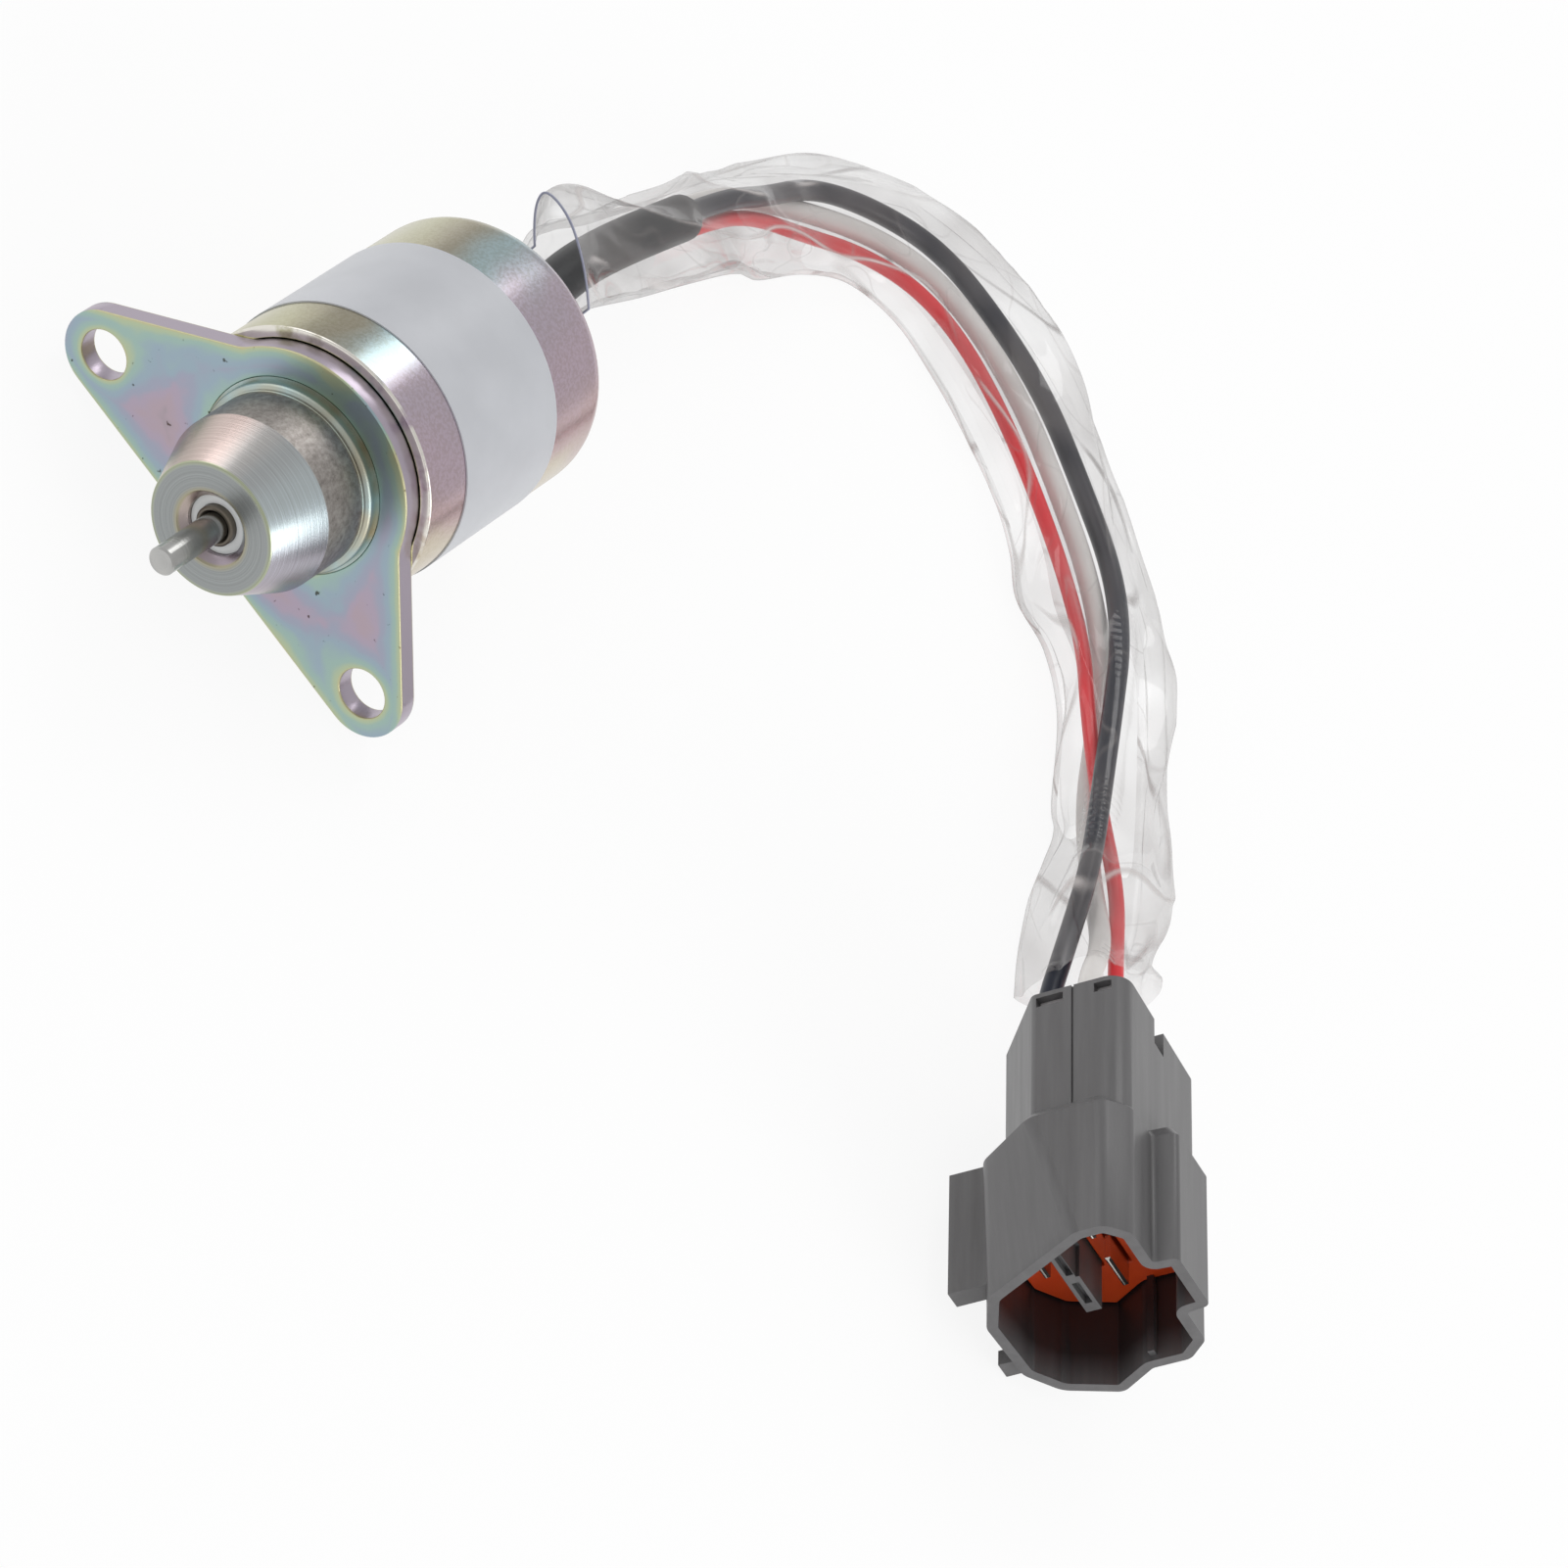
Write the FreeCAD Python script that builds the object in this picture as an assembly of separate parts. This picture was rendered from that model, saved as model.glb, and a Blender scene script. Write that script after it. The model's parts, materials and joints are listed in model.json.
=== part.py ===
import FreeCAD, Part
import math
import os

# Fuel shutoff solenoid: a two-coil pull and hold solenoid on a two-hole flange,
# with a short harness in a clear sleeve that ends in a three-way sealed connector.
# Millimetres. The origin is on the plunger's axis, at the flange's front face.
# +X runs out of the nose, +Y towards one ear, +Z up. It lies as on a table,
# on its can and on the flange's straight edge.

# can
can_r = 19.05
can_wall = 1.6
can_back_x = -45.5
can_corner_r = 3.8
cable_hole_r = 5.0
floor_z = -can_r

# flange: an ear each side of the can, straight sides that run into a round lobe
flange_t = 3.0
bolt_to_can = 7.95
bolt_y = can_r + bolt_to_can
bolt_hole_r = 3.45
ear_wall = 2.65
ear_r = bolt_hole_r + ear_wall
ear_z = floor_z + ear_r
lobe_step = 1.65
lobe_r = can_r - lobe_step
side_inset = 1.365
side_r = lobe_r - side_inset
lobe_fillet_r = 7.0

# nose, from the flange's front face to the flat end
ring_r = 13.0
ring_h = 1.7
ring_round = 0.7
root_step = 0.4
root_r = ring_r + root_step
collar_r = 12.1
collar_x = 9.4
nose_end_r = 9.0
nose_x = 17.7
nose_edge = 0.3
mouth_r = 5.2
mouth_depth = 1.1
washer_seat_x = 14.9
pin_clear_r = 2.6

# plunger, pin and their guides
plunger_r = 6.25
running_gap = 0.05
plunger_front_x = 5.9
plunger_back_x = -18.0
stop_gap = 0.05
spring_pocket_r = 5.0
spring_pocket_depth = 8.0
vent_w = 1.2
pin_r = 1.93
pin_tip_x = 28.4
pin_tip_chamfer = 0.25
pin_seat_depth = 8.0
bushing_r = 2.75
bushing_x0 = 12.8
bushing_x1 = 17.0
washer_t = 1.1
stroke = 10.0
air_gap = 0.3

# magnet core, bobbin and coils
tube_wall = 0.6
bobbin_wall = 0.9
cheek_t = 1.2
cheek_gap = 0.3
pull_coil_t = 4.4
hold_coil_t = 3.2
winding_gap = 0.3
rear_plate_t = 2.0
rear_plate_back_x = -41.1
pole_pocket_depth = 2.0

# return spring
spring_wire_r = 0.45
spring_mean_r = 4.2
spring_turns = 7
spring_end_gap = 0.1

# grommet and heat-shrunk sleeve
grommet_lip_r = 6.4
grommet_lip_t = 1.1
shrink_r = 3.3

# label round the can
label_x0 = -32.3
label_x1 = -11.3
label_t = 0.2
label_mid_deg = 62.0
label_half_deg = 128.0

# wires, and where they lie
black_r = 1.5
white_r = 1.5
red_r = 1.1
wire_lead = 11.0
shrink_route = [
    (-43.0, 0.0, 0.0), (-54.0, 0.0, 0.0), (-68.0, -2.4, -0.9), (-85.0, -1.9, -3.2), (-102.0, -0.3, -6.3),
]
black_route = [
    (-126.0, 3.2, -11.4), (-140.4, 5.4, -15.0), (-151.6, 12.6, -17.0), (-158.4, 23.2, -17.0),
    (-159.0, 36.2, -17.0), (-157.0, 49.4, -17.0), (-151.2, 62.4, -17.0), (-143.2, 74.4, -15.4),
    (-131.5, 82.8, -12.6), (-119.0, 89.6, -11.6), (-106.2, 97.0, -11.4), (-93.4, 104.0, -10.8),
    (-80.0, 109.2, -10.2),
]
white_route = [
    (-126.0, 1.0, -15.2), (-137.8, 7.4, -16.7), (-147.4, 15.6, -17.0), (-153.2, 24.8, -17.0),
    (-154.2, 36.0, -17.0), (-151.8, 48.4, -17.0), (-146.4, 60.6, -17.0), (-140.0, 73.0, -17.0),
    (-130.8, 84.0, -17.0), (-119.5, 90.9, -17.0), (-106.9, 98.3, -17.0), (-94.8, 107.4, -14.8),
    (-80.8, 113.2, -7.4),
]
red_route = [
    (-124.8, 4.8, -13.9), (-134.4, 10.0, -16.8), (-143.4, 16.8, -17.4), (-149.0, 25.4, -17.4),
    (-150.2, 35.0, -17.4), (-147.6, 46.4, -17.4), (-142.6, 58.4, -17.4), (-136.6, 70.2, -17.4),
    (-128.8, 80.6, -16.8), (-117.9, 87.7, -14.5), (-107.1, 98.5, -14.2), (-95.8, 109.5, -12.0),
    (-82.6, 115.8, -8.6),
]

# clear sleeve round the harness, lying loose. At each station: one edge (x, y), the other
# edge (x, y), and the heights of the edges, the underside and the top
sleeve_wall = 0.3
sleeve_stations = [
    (-63.5, -11.5, -64.5, 3.2, -0.5, -5.2, 8.8),
    (-74.0, -11.0, -73.0, 3.8, -1.6, -6.2, 6.0),
    (-86.0, -9.4, -86.0, 6.4, -3.6, -8.0, 3.4),
    (-100.0, -7.0, -99.5, 8.4, -6.4, -10.6, 0.6),
    (-114.0, -5.0, -112.0, 10.6, -9.0, -13.2, -2.6),
    (-128.0, -4.0, -120.5, 13.0, -12.4, -17.6, -6.0),
    (-143.0, 1.5, -130.5, 15.6, -13.8, -18.9, -8.4),
    (-154.0, 9.4, -137.5, 20.0, -14.4, -19.0, -9.2),
    (-162.5, 21.5, -140.5, 28.0, -14.6, -19.0, -9.6),
    (-165.0, 36.6, -139.6, 36.6, -14.6, -19.0, -9.6),
    (-163.5, 50.5, -137.4, 45.8, -14.6, -19.0, -9.6),
    (-156.5, 64.6, -134.8, 55.6, -14.6, -19.0, -9.6),
    (-149.5, 78.4, -128.0, 64.8, -14.6, -19.0, -9.4),
    (-138.0, 91.6, -122.5, 75.0, -14.4, -19.0, -8.8),
    (-125.5, 101.0, -114.6, 83.2, -14.0, -19.0, -8.2),
    (-113.5, 110.0, -103.0, 91.4, -13.6, -19.0, -7.8),
    (-101.5, 117.0, -90.5, 98.8, -12.8, -18.8, -6.6),
    (-88.0, 121.4, -75.5, 105.6, -10.5, -18.2, -3.2),
    (-82.0, 124.6, -69.5, 109.5, -9.5, -17.5, 0.4),
]
# its cross-section: places across, from edge to edge, and up (-1 the underside, 1 the top)
sleeve_section = [
    (-1.0, 0.0), (-0.92, -0.72), (-0.78, -1.0), (0.78, -1.0), (0.92, -0.72), (1.0, 0.0),
    (0.9, 0.5), (0.62, 0.85), (0.25, 1.0), (-0.25, 1.0), (-0.62, 0.85), (-0.9, 0.5),
]

# connector: a frame of its own, mouth at z 0, looking out along its +z
mouth_at = (-25.6, 147.5, 0.1)
mouth_heading_deg = 35.2
mouth_pitch_deg = 4.0
mouth_roll_deg = -27.5
shroud_depth = 20.4
housing_len = 42.0
cavity_depth = 18.6
shroud_wall = 1.5
shroud_corners = [
    (-8.5, -11.6, 3.0), (-2.5, -14.4, 3.0), (8.6, -14.0, 3.0), (13.6, -10.6, 4.0), (17.0, -3.2, 1.8),
    (13.6, 2.2, 1.2), (13.6, 7.6, 2.0), (10.6, 10.8, 1.6), (4.2, 10.8, 0.6), (3.9, 14.2, 1.0),
    (-7.0, 14.2, 1.0), (-7.3, 10.8, 0.6), (-14.0, 10.8, 2.4), (-17.0, 8.0, 2.4), (-17.0, 4.0, 3.0),
]
# the shroud is fuller at its back end, where it closes over the rear block
back_corners = [
    (-11.0, -11.4, 3.0), (-2.5, -14.6, 3.0), (8.6, -14.2, 3.0), (13.8, -10.6, 4.0), (17.0, -3.2, 1.8),
    (13.6, 2.2, 1.2), (13.6, 7.6, 2.0), (10.6, 10.8, 1.6), (4.2, 10.8, 0.6), (3.9, 14.2, 1.0),
    (-7.0, 14.2, 1.0), (-7.3, 10.8, 0.6), (-14.0, 10.8, 2.4), (-17.2, 8.0, 2.4), (-17.2, -2.4, 4.0),
]
shoulder_len = 1.6
shoulder_scale = 0.93
rear_corners = [
    (-5.2, -10.8, 1.6), (6.0, -11.4, 3.0), (11.6, -7.4, 3.0), (12.6, -2.0, 2.0), (11.2, 3.0, 2.0),
    (9.6, 10.0, 1.4), (-15.6, 10.6, 3.0), (-15.6, -2.6, 1.2),
]
notch_u0 = -4.9
notch_u1 = -1.6
notch_depth = 2.2
notch_len = 4.0
rail_u0 = -6.4
rail_u1 = -3.4
rail_bottom = -18.2
rail_front = 4.0
rail_back = 23.4
rib_u0 = 11.0
rib_w0 = 2.5
rib_w1 = 3.4
rib_front = 0.8
peg_u0 = 6.4
peg_u1 = 9.2
peg_bottom = -16.6
peg_front = 0.9
peg_back = 3.2

# terminals and seals in the connector
pole_u = (-1.4, -6.9, 3.9)
pole_w = (-7.6, 1.2, 1.2)
tab_w = 6.3
tab_t = 0.8
tab_tip = 9.0
tab_root = 22.0
barrel_r = 1.7
barrel_end = 34.5
chamber_r = 2.0
seal_r = 2.6
wire_seal_front = 35.6
wire_seal_back = 40.2
seal_t = 5.5
divider_u0 = -7.4
divider_u1 = 6.6
divider_w0 = -4.2
divider_w1 = -2.0
divider_front = 6.0
mat_gap = 0.3
retainer_gap = 0.1
seam_w = 3.0
window_back = 41.3
window_front = 39.8
retainer_windows = ((-2.0, 1.8), (6.2, 8.6))


def vec(x, y, z):
    return FreeCAD.Vector(x, y, z)


def turned(profile):
    # profile: (x, r) corners of a half section, turned about the X axis
    points = [vec(x, 0, r) for x, r in profile]
    face = Part.Face(Part.makePolygon(points + [points[0]]))
    return face.revolve(vec(0, 0, 0), vec(1, 0, 0), 360)


def tube_x(r_in, r_out, x0, x1):
    return turned([(x0, r_in), (x1, r_in), (x1, r_out), (x0, r_out)])


def rod_x(r, x0, x1):
    return Part.makeCylinder(r, x1 - x0, vec(x0, 0, 0), vec(1, 0, 0))


def save(shape, name):
    shape = shape.removeSplitter() if shape.ShapeType == "Compound" else shape
    solids = shape.Solids
    if len(solids) == 1:
        shape = solids[0]
    if not shape.isValid():
        print("not valid:", name)
    shape.exportStep(os.path.join("parts", name + ".step"))
    print(name, len(solids), "solid", round(shape.Volume, 1), "mm3")
    return shape


def rounded_path(points):
    # straight runs joined by tangent arcs: (start, end) runs and (start, centre, axis, degrees) arcs
    pts = [vec(*p) for p in points]
    pieces = []
    radii = []
    start = pts[0]
    for i in range(1, len(pts) - 1):
        a = pts[i - 1] - pts[i]
        b = pts[i + 1] - pts[i]
        turn = math.pi - a.getAngle(b)
        cut = 0.45 * min(a.Length, b.Length)
        a.normalize()
        b.normalize()
        radii.append(cut / math.tan(turn / 2))
        p0 = pts[i] + a * cut
        inward = a + b
        inward.normalize()
        centre = pts[i] + inward * (radii[-1] / math.cos(turn / 2))
        axis = b.cross(a)
        axis.normalize()
        pieces.append(("run", start, p0))
        pieces.append(("arc", p0, centre, axis, math.degrees(turn)))
        start = pts[i] + b * cut
    pieces.append(("run", start, pts[-1]))
    return pieces, radii


def arc_tube(start, centre, axis, degrees, r):
    along = axis.cross(start - centre)
    disc = Part.Face(Part.Wire(Part.makeCircle(r, start, along)))
    return disc.revolve(centre, axis, degrees)


def tube_along(pieces, r):
    solids = []
    length = 0.0
    for piece in pieces:
        if piece[0] == "run":
            run = piece[2] - piece[1]
            solids.append(Part.makeCylinder(r, run.Length, piece[1], run))
            length += run.Length
        else:
            solids.append(arc_tube(*piece[1:], r))
            length += (piece[1] - piece[2]).Length * math.radians(piece[4])
    return solids[0].fuse(solids[1:]), length


def cord(points, r, name):
    pieces, radii = rounded_path(points)
    solid, length = tube_along(pieces, r)
    print(name, "length", round(length, 1), "radii", [round(q, 1) for q in radii])
    print(name, "volume over section times length",
          round(solid.Volume / (math.pi * r * r * length), 4))
    return solid


def sleeve_ring(station, wall):
    x0, y0, x1, y1, edge_z, under_z, top_z = station
    middle = vec((x0 + x1) / 2, (y0 + y1) / 2, edge_z)
    across = vec(x1 - x0, y1 - y0, 0) * 0.5
    across = across * (1 - wall / across.Length)
    rise = top_z - edge_z - wall
    drop = edge_z - under_z - wall
    p = [middle + across * u + vec(0, 0, v * (rise if v > 0 else drop)) for u, v in sleeve_section]
    return Part.makePolygon(p + [p[0]])


def make_can():
    outer = rod_x(can_r, can_back_x, -flange_t)
    rim = [e for e in outer.Edges if e.Length > 1 and abs(e.CenterOfMass.x - can_back_x) < 0.01]
    outer = outer.makeFillet(can_corner_r, rim)
    inner_r = can_r - can_wall
    inner_back = can_back_x + can_wall
    inner = rod_x(inner_r, inner_back, -flange_t + 1)
    rim = [e for e in inner.Edges if abs(e.CenterOfMass.x - inner_back) < 0.01]
    inner = inner.makeFillet(can_corner_r - can_wall, rim)
    hole = rod_x(cable_hole_r, can_back_x - 1, inner_back + 1)
    return outer.cut(inner).cut(hole)


def flange_sides():
    # each side is tangent to its ear and passes inside the lobe's rim, at side_r from the axis;
    # gives where it leaves the ear, its nearest point to the axis, and where it meets the lobe
    reach = math.hypot(bolt_y, ear_z)
    lean = math.atan2(ear_z, bolt_y) + math.acos((side_r - ear_r) / reach)
    c, s = math.cos(lean), math.sin(lean)
    along = math.sqrt(lobe_r ** 2 - side_r ** 2)
    touch = (bolt_y + ear_r * c, ear_z + ear_r * s)
    foot = (side_r * c, side_r * s)
    meet = (side_r * c + along * s, side_r * s - along * c)
    return touch, foot, meet


def flange_outline():
    touch, foot, meet = flange_sides()
    ears = [
        Part.makeCylinder(ear_r, flange_t, vec(-flange_t, y, ear_z), vec(1, 0, 0)) for y in (bolt_y, -bolt_y)
    ]
    web = [(bolt_y, floor_z), (bolt_y, ear_z), touch, foot]
    web += [(-y, z) for y, z in reversed(web)]
    points = [vec(-flange_t, y, z) for y, z in web]
    plate = Part.Face(Part.makePolygon(points + [points[0]])).extrude(vec(flange_t, 0, 0))
    return plate.fuse(ears + [rod_x(lobe_r, -flange_t, 0)]).removeSplitter()


def make_flange():
    body = flange_outline()
    # the inner corners where the sides meet the lobe are rounded
    y, z = flange_sides()[2]
    corners = [vec(-flange_t / 2, y, z), vec(-flange_t / 2, -y, z)]
    notch = [e for e in body.Edges if any((e.CenterOfMass - c).Length < 0.05 for c in corners)]
    body = body.makeFillet(lobe_fillet_r, notch)
    for y in (-bolt_y, bolt_y):
        hole = Part.makeCylinder(bolt_hole_r, flange_t + 2, vec(-flange_t - 1, y, ear_z), vec(1, 0, 0))
        body = body.cut(hole)
    return body.cut(rod_x(root_r, -flange_t - 1, 1))


def make_nose():
    bore = plunger_r + running_gap
    stop_x = plunger_front_x + stop_gap
    disc_r = mouth_r - mouth_depth
    body = turned([
        (-flange_t, bore), (-flange_t, root_r), (0, root_r), (0, ring_r),
        (ring_h - ring_round, ring_r), (ring_h, ring_r - ring_round), (ring_h, collar_r),
        (collar_x, collar_r), (nose_x - nose_edge, nose_end_r), (nose_x, nose_end_r - nose_edge),
        (nose_x, mouth_r), (nose_x - mouth_depth, disc_r), (washer_seat_x, disc_r),
        (washer_seat_x, bushing_r + running_gap), (bushing_x0, bushing_r + running_gap),
        (bushing_x0, pin_clear_r), (stop_x, pin_clear_r), (stop_x, bore),
    ])
    return body


def make_washer():
    disc_r = mouth_r - mouth_depth
    return tube_x(bushing_r + running_gap, disc_r - running_gap, washer_seat_x, washer_seat_x + washer_t)


def make_bushing():
    inner = pin_r + running_gap
    return turned([
        (bushing_x0, inner), (bushing_x1 - 0.3, inner), (bushing_x1, inner + 0.3),
        (bushing_x1, bushing_r - 0.2), (bushing_x1 - 0.2, bushing_r), (bushing_x0, bushing_r),
    ])


def make_plunger():
    body = rod_x(plunger_r, plunger_back_x, plunger_front_x)
    ends = [e for e in body.Edges if len(e.Vertexes) == 1 and abs(e.Length - 2 * math.pi * plunger_r) < 0.1]
    body = body.makeChamfer(0.4, ends)
    body = body.cut(rod_x(spring_pocket_r, plunger_back_x - 1, plunger_back_x + spring_pocket_depth))
    body = body.cut(rod_x(pin_r, plunger_front_x - pin_seat_depth, plunger_front_x + 1))
    # vent grooves let air past the plunger
    length = plunger_front_x - plunger_back_x
    for turn in (0, 120, 240):
        groove = Part.makeBox(length + 2, vent_w, 1.0, vec(plunger_back_x - 1, -vent_w / 2, plunger_r - 0.5))
        groove.rotate(vec(0, 0, 0), vec(1, 0, 0), turn)
        body = body.cut(groove)
    return body


def make_pin():
    body = rod_x(pin_r, plunger_front_x - pin_seat_depth, pin_tip_x)
    tip = [e for e in body.Edges if abs(e.CenterOfMass.x - pin_tip_x) < 0.01]
    return body.makeChamfer(pin_tip_chamfer, tip)


def make_spring():
    # half rings leaning left and right in turn, so that each runs on into the next
    x0 = plunger_back_x - stroke - air_gap - pole_pocket_depth + spring_end_gap + spring_wire_r
    x1 = plunger_back_x + spring_pocket_depth - spring_end_gap - spring_wire_r
    step = (x1 - x0) / (2 * spring_turns)
    halves = []
    for i in range(2 * spring_turns):
        side = 1 if i % 2 == 0 else -1
        start = vec(x0 + i * step, 0, side * spring_mean_r)
        end = vec(x0 + (i + 1) * step, 0, -side * spring_mean_r)
        centre = (start + end) * 0.5
        axis = vec(0, 1, 0).cross(start - centre) * side
        axis.normalize()
        halves.append(arc_tube(start, centre, axis, 180, spring_wire_r))
    return halves[0].fuse(halves[1:])


def make_pole_piece():
    face_x = plunger_back_x - stroke - air_gap
    body = rod_x(plunger_r, rear_plate_back_x, face_x)
    return body.cut(rod_x(spring_pocket_r, face_x - pole_pocket_depth, face_x + 1))


def make_guide_tube():
    inner = plunger_r + running_gap
    return tube_x(inner, inner + tube_wall, rear_plate_back_x + rear_plate_t, -flange_t)


def bobbin_span():
    return rear_plate_back_x + rear_plate_t, -flange_t


def make_bobbin():
    x0, x1 = bobbin_span()
    inner = plunger_r + running_gap + tube_wall + running_gap
    barrel = inner + bobbin_wall
    cheek = can_r - can_wall - cheek_gap
    return turned([
        (x0, inner), (x1, inner), (x1, cheek), (x1 - cheek_t, cheek), (x1 - cheek_t, barrel),
        (x0 + cheek_t, barrel), (x0 + cheek_t, cheek), (x0, cheek),
    ])


def make_coils():
    x0, x1 = bobbin_span()
    barrel = plunger_r + 2 * running_gap + tube_wall + bobbin_wall
    pull_in = barrel + running_gap
    pull_out = pull_in + pull_coil_t
    hold_in = pull_out + winding_gap
    span = (x0 + cheek_t + winding_gap, x1 - cheek_t - winding_gap)
    return tube_x(pull_in, pull_out, *span), tube_x(hold_in, hold_in + hold_coil_t, *span)


def make_rear_plate():
    back, front = rear_plate_back_x, rear_plate_back_x + rear_plate_t
    plate = tube_x(plunger_r, can_r - can_wall - running_gap, back, front)
    slot = Part.makeCylinder(2.2, rear_plate_t + 2, vec(rear_plate_back_x - 1, 0, 11.5), vec(1, 0, 0))
    return plate.cut(slot)


def make_grommet():
    wall0 = can_back_x
    wall1 = can_back_x + can_wall
    return turned([
        (wall0 - grommet_lip_t, shrink_r), (wall1 + grommet_lip_t, shrink_r),
        (wall1 + grommet_lip_t, grommet_lip_r), (wall1, grommet_lip_r), (wall1, cable_hole_r),
        (wall0, cable_hole_r), (wall0, grommet_lip_r), (wall0 - grommet_lip_t, grommet_lip_r - 0.5),
    ])


def make_label():
    band = tube_x(can_r, can_r + label_t, label_x0, label_x1)
    # the label leaves a strip of the can bare along its side
    open_mid = label_mid_deg + 180
    half = 180 - label_half_deg
    reach = 2 * can_r
    wedge = Part.Face(Part.makePolygon([
        vec(label_x0 - 1, 0, 0),
        vec(label_x0 - 1, reach * math.cos(math.radians(open_mid - half)),
            reach * math.sin(math.radians(open_mid - half))),
        vec(label_x0 - 1, reach * math.cos(math.radians(open_mid + half)),
            reach * math.sin(math.radians(open_mid + half))),
        vec(label_x0 - 1, 0, 0),
    ])).extrude(vec(label_x1 - label_x0 + 2, 0, 0))
    return band.cut(wedge)


def connector_placement():
    turn = FreeCAD.Rotation(vec(0, 0, 1), 90 + mouth_heading_deg)
    tip = FreeCAD.Rotation(vec(1, 0, 0), 90 - mouth_pitch_deg)
    roll = FreeCAD.Rotation(vec(0, 0, 1), mouth_roll_deg)
    return FreeCAD.Placement(vec(*mouth_at), turn * tip * roll)


def placed(shape):
    shape = shape.copy()
    shape.Placement = connector_placement()
    return shape


def in_room(u, w, z):
    return connector_placement().multVec(vec(u, w, z))


def rounded_outline(corners, z):
    # corners: (u, w, radius); straight sides with an arc at each corner
    n = len(corners)
    ends = []
    arcs = []
    for i in range(n):
        u, w, r = corners[i]
        p = vec(u, w, z)
        a = vec(*corners[i - 1][:2], z) - p
        b = vec(*corners[(i + 1) % n][:2], z) - p
        turn = math.pi - a.getAngle(b)
        cut = r * math.tan(turn / 2)
        a.normalize()
        b.normalize()
        inward = a + b
        inward.normalize()
        p0 = p + a * cut
        p1 = p + b * cut
        middle = p + inward * (r * (1 / math.cos(turn / 2) - 1))
        arcs.append(Part.Arc(p0, middle, p1).toShape())
        ends.append((p0, p1))
    edges = []
    for i in range(n):
        edges.append(arcs[i])
        edges.append(Part.LineSegment(ends[i][1], ends[(i + 1) % n][0]).toShape())
    return Part.Wire(edges)


def prism(corners, z0, z1, inset=0.0):
    face = Part.Face(rounded_outline(corners, z0))
    if inset:
        face = face.makeOffset2D(-inset)
    return face.extrude(vec(0, 0, z1 - z0))


def ruled(front, z_front, back, z_back):
    return Part.makeLoft([rounded_outline(front, z_front), rounded_outline(back, z_back)], True, True)


def box(u0, u1, w0, w1, z0, z1):
    return Part.makeBox(u1 - u0, w1 - w0, z1 - z0, vec(u0, w0, z0))


def make_housing():
    body = ruled(shroud_corners, 0, back_corners, -shroud_depth)
    smaller = [(u * shoulder_scale, w * shoulder_scale, r) for u, w, r in back_corners]
    shoulder = ruled(back_corners, -shroud_depth, smaller, -shroud_depth - shoulder_len)
    rear = prism(rear_corners, -housing_len, -shroud_depth)
    rail = box(rail_u0, rail_u1, rail_bottom, -11.5, -rail_back, -rail_front)
    peg = box(peg_u0, peg_u1, peg_bottom, -13.0, -peg_back, -peg_front)
    body = body.fuse([shoulder, rear, rail, peg]).removeSplitter()
    body = body.cut(prism(shroud_corners, -cavity_depth, 1, shroud_wall))
    rib = box(rib_u0, shroud_corners[5][0] - shroud_wall / 2, rib_w0, rib_w1, -cavity_depth + seal_t, -rib_front)
    body = body.fuse(rib)
    for u, w in zip(pole_u, pole_w):
        chamber = Part.makeCylinder(chamber_r, housing_len, vec(u, w, -wire_seal_front), vec(0, 0, 1))
        seal_seat = Part.makeCylinder(seal_r, housing_len, vec(u, w, -wire_seal_front), vec(0, 0, -1))
        slot = box(u - tab_w / 2 - mat_gap, u + tab_w / 2 + mat_gap,
                   w - tab_t / 2 - mat_gap, w + tab_t / 2 + mat_gap, -tab_root, 1)
        body = body.cut(chamber).cut(seal_seat).cut(slot)
    # a seam down the flat side, a notch in the top edge and two windows over the retainer
    flat = rear_corners[-1][0]
    seam_front = -shroud_depth - shoulder_len - 0.2
    body = body.cut(box(flat - 1, flat + 0.35, seam_w, seam_w + 0.35, -housing_len - 1, seam_front))
    top = rear_corners[-3][1]
    notch_end = -housing_len + notch_len
    body = body.cut(box(notch_u0, notch_u1, top - notch_depth, top + 2, -housing_len - 1, notch_end))
    for w0, w1 in retainer_windows:
        body = body.cut(box(flat - 1, flat + 1.5, w0, w1, -window_back, -window_front))
    return body.cut(retainer_blank(0.0))


def retainer_blank(gap):
    flat = rear_corners[-1][0]
    return box(flat + 1.2 + gap, flat + 2.4 - gap, -2.0 + gap, 9.2 - gap,
               -window_back - 0.4 + gap, -window_front + 3.0 - gap)


def make_terminal(u, w):
    tab = box(u - tab_w / 2, u + tab_w / 2, w - tab_t / 2, w + tab_t / 2, -tab_root, -tab_tip)
    front = [e for e in tab.Edges if abs(e.CenterOfMass.z + tab_tip) < 0.01]
    tab = tab.makeChamfer(0.3, front)
    barrel = Part.makeCylinder(barrel_r, barrel_end - tab_root, vec(u, w, -tab_root), vec(0, 0, -1))
    return tab.fuse(barrel)


def make_front_seal():
    mat = prism(shroud_corners, -cavity_depth, -cavity_depth + seal_t, shroud_wall + mat_gap)
    for u, w in zip(pole_u, pole_w):
        mat = mat.cut(box(u - tab_w / 2 - mat_gap, u + tab_w / 2 + mat_gap,
                          w - tab_t / 2 - mat_gap, w + tab_t / 2 + mat_gap, -housing_len, 1))
    slot = box(divider_u0 - mat_gap, divider_u1 + mat_gap, divider_w0 - mat_gap, divider_w1 + mat_gap,
               -housing_len, 1)
    return mat.cut(slot)


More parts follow.
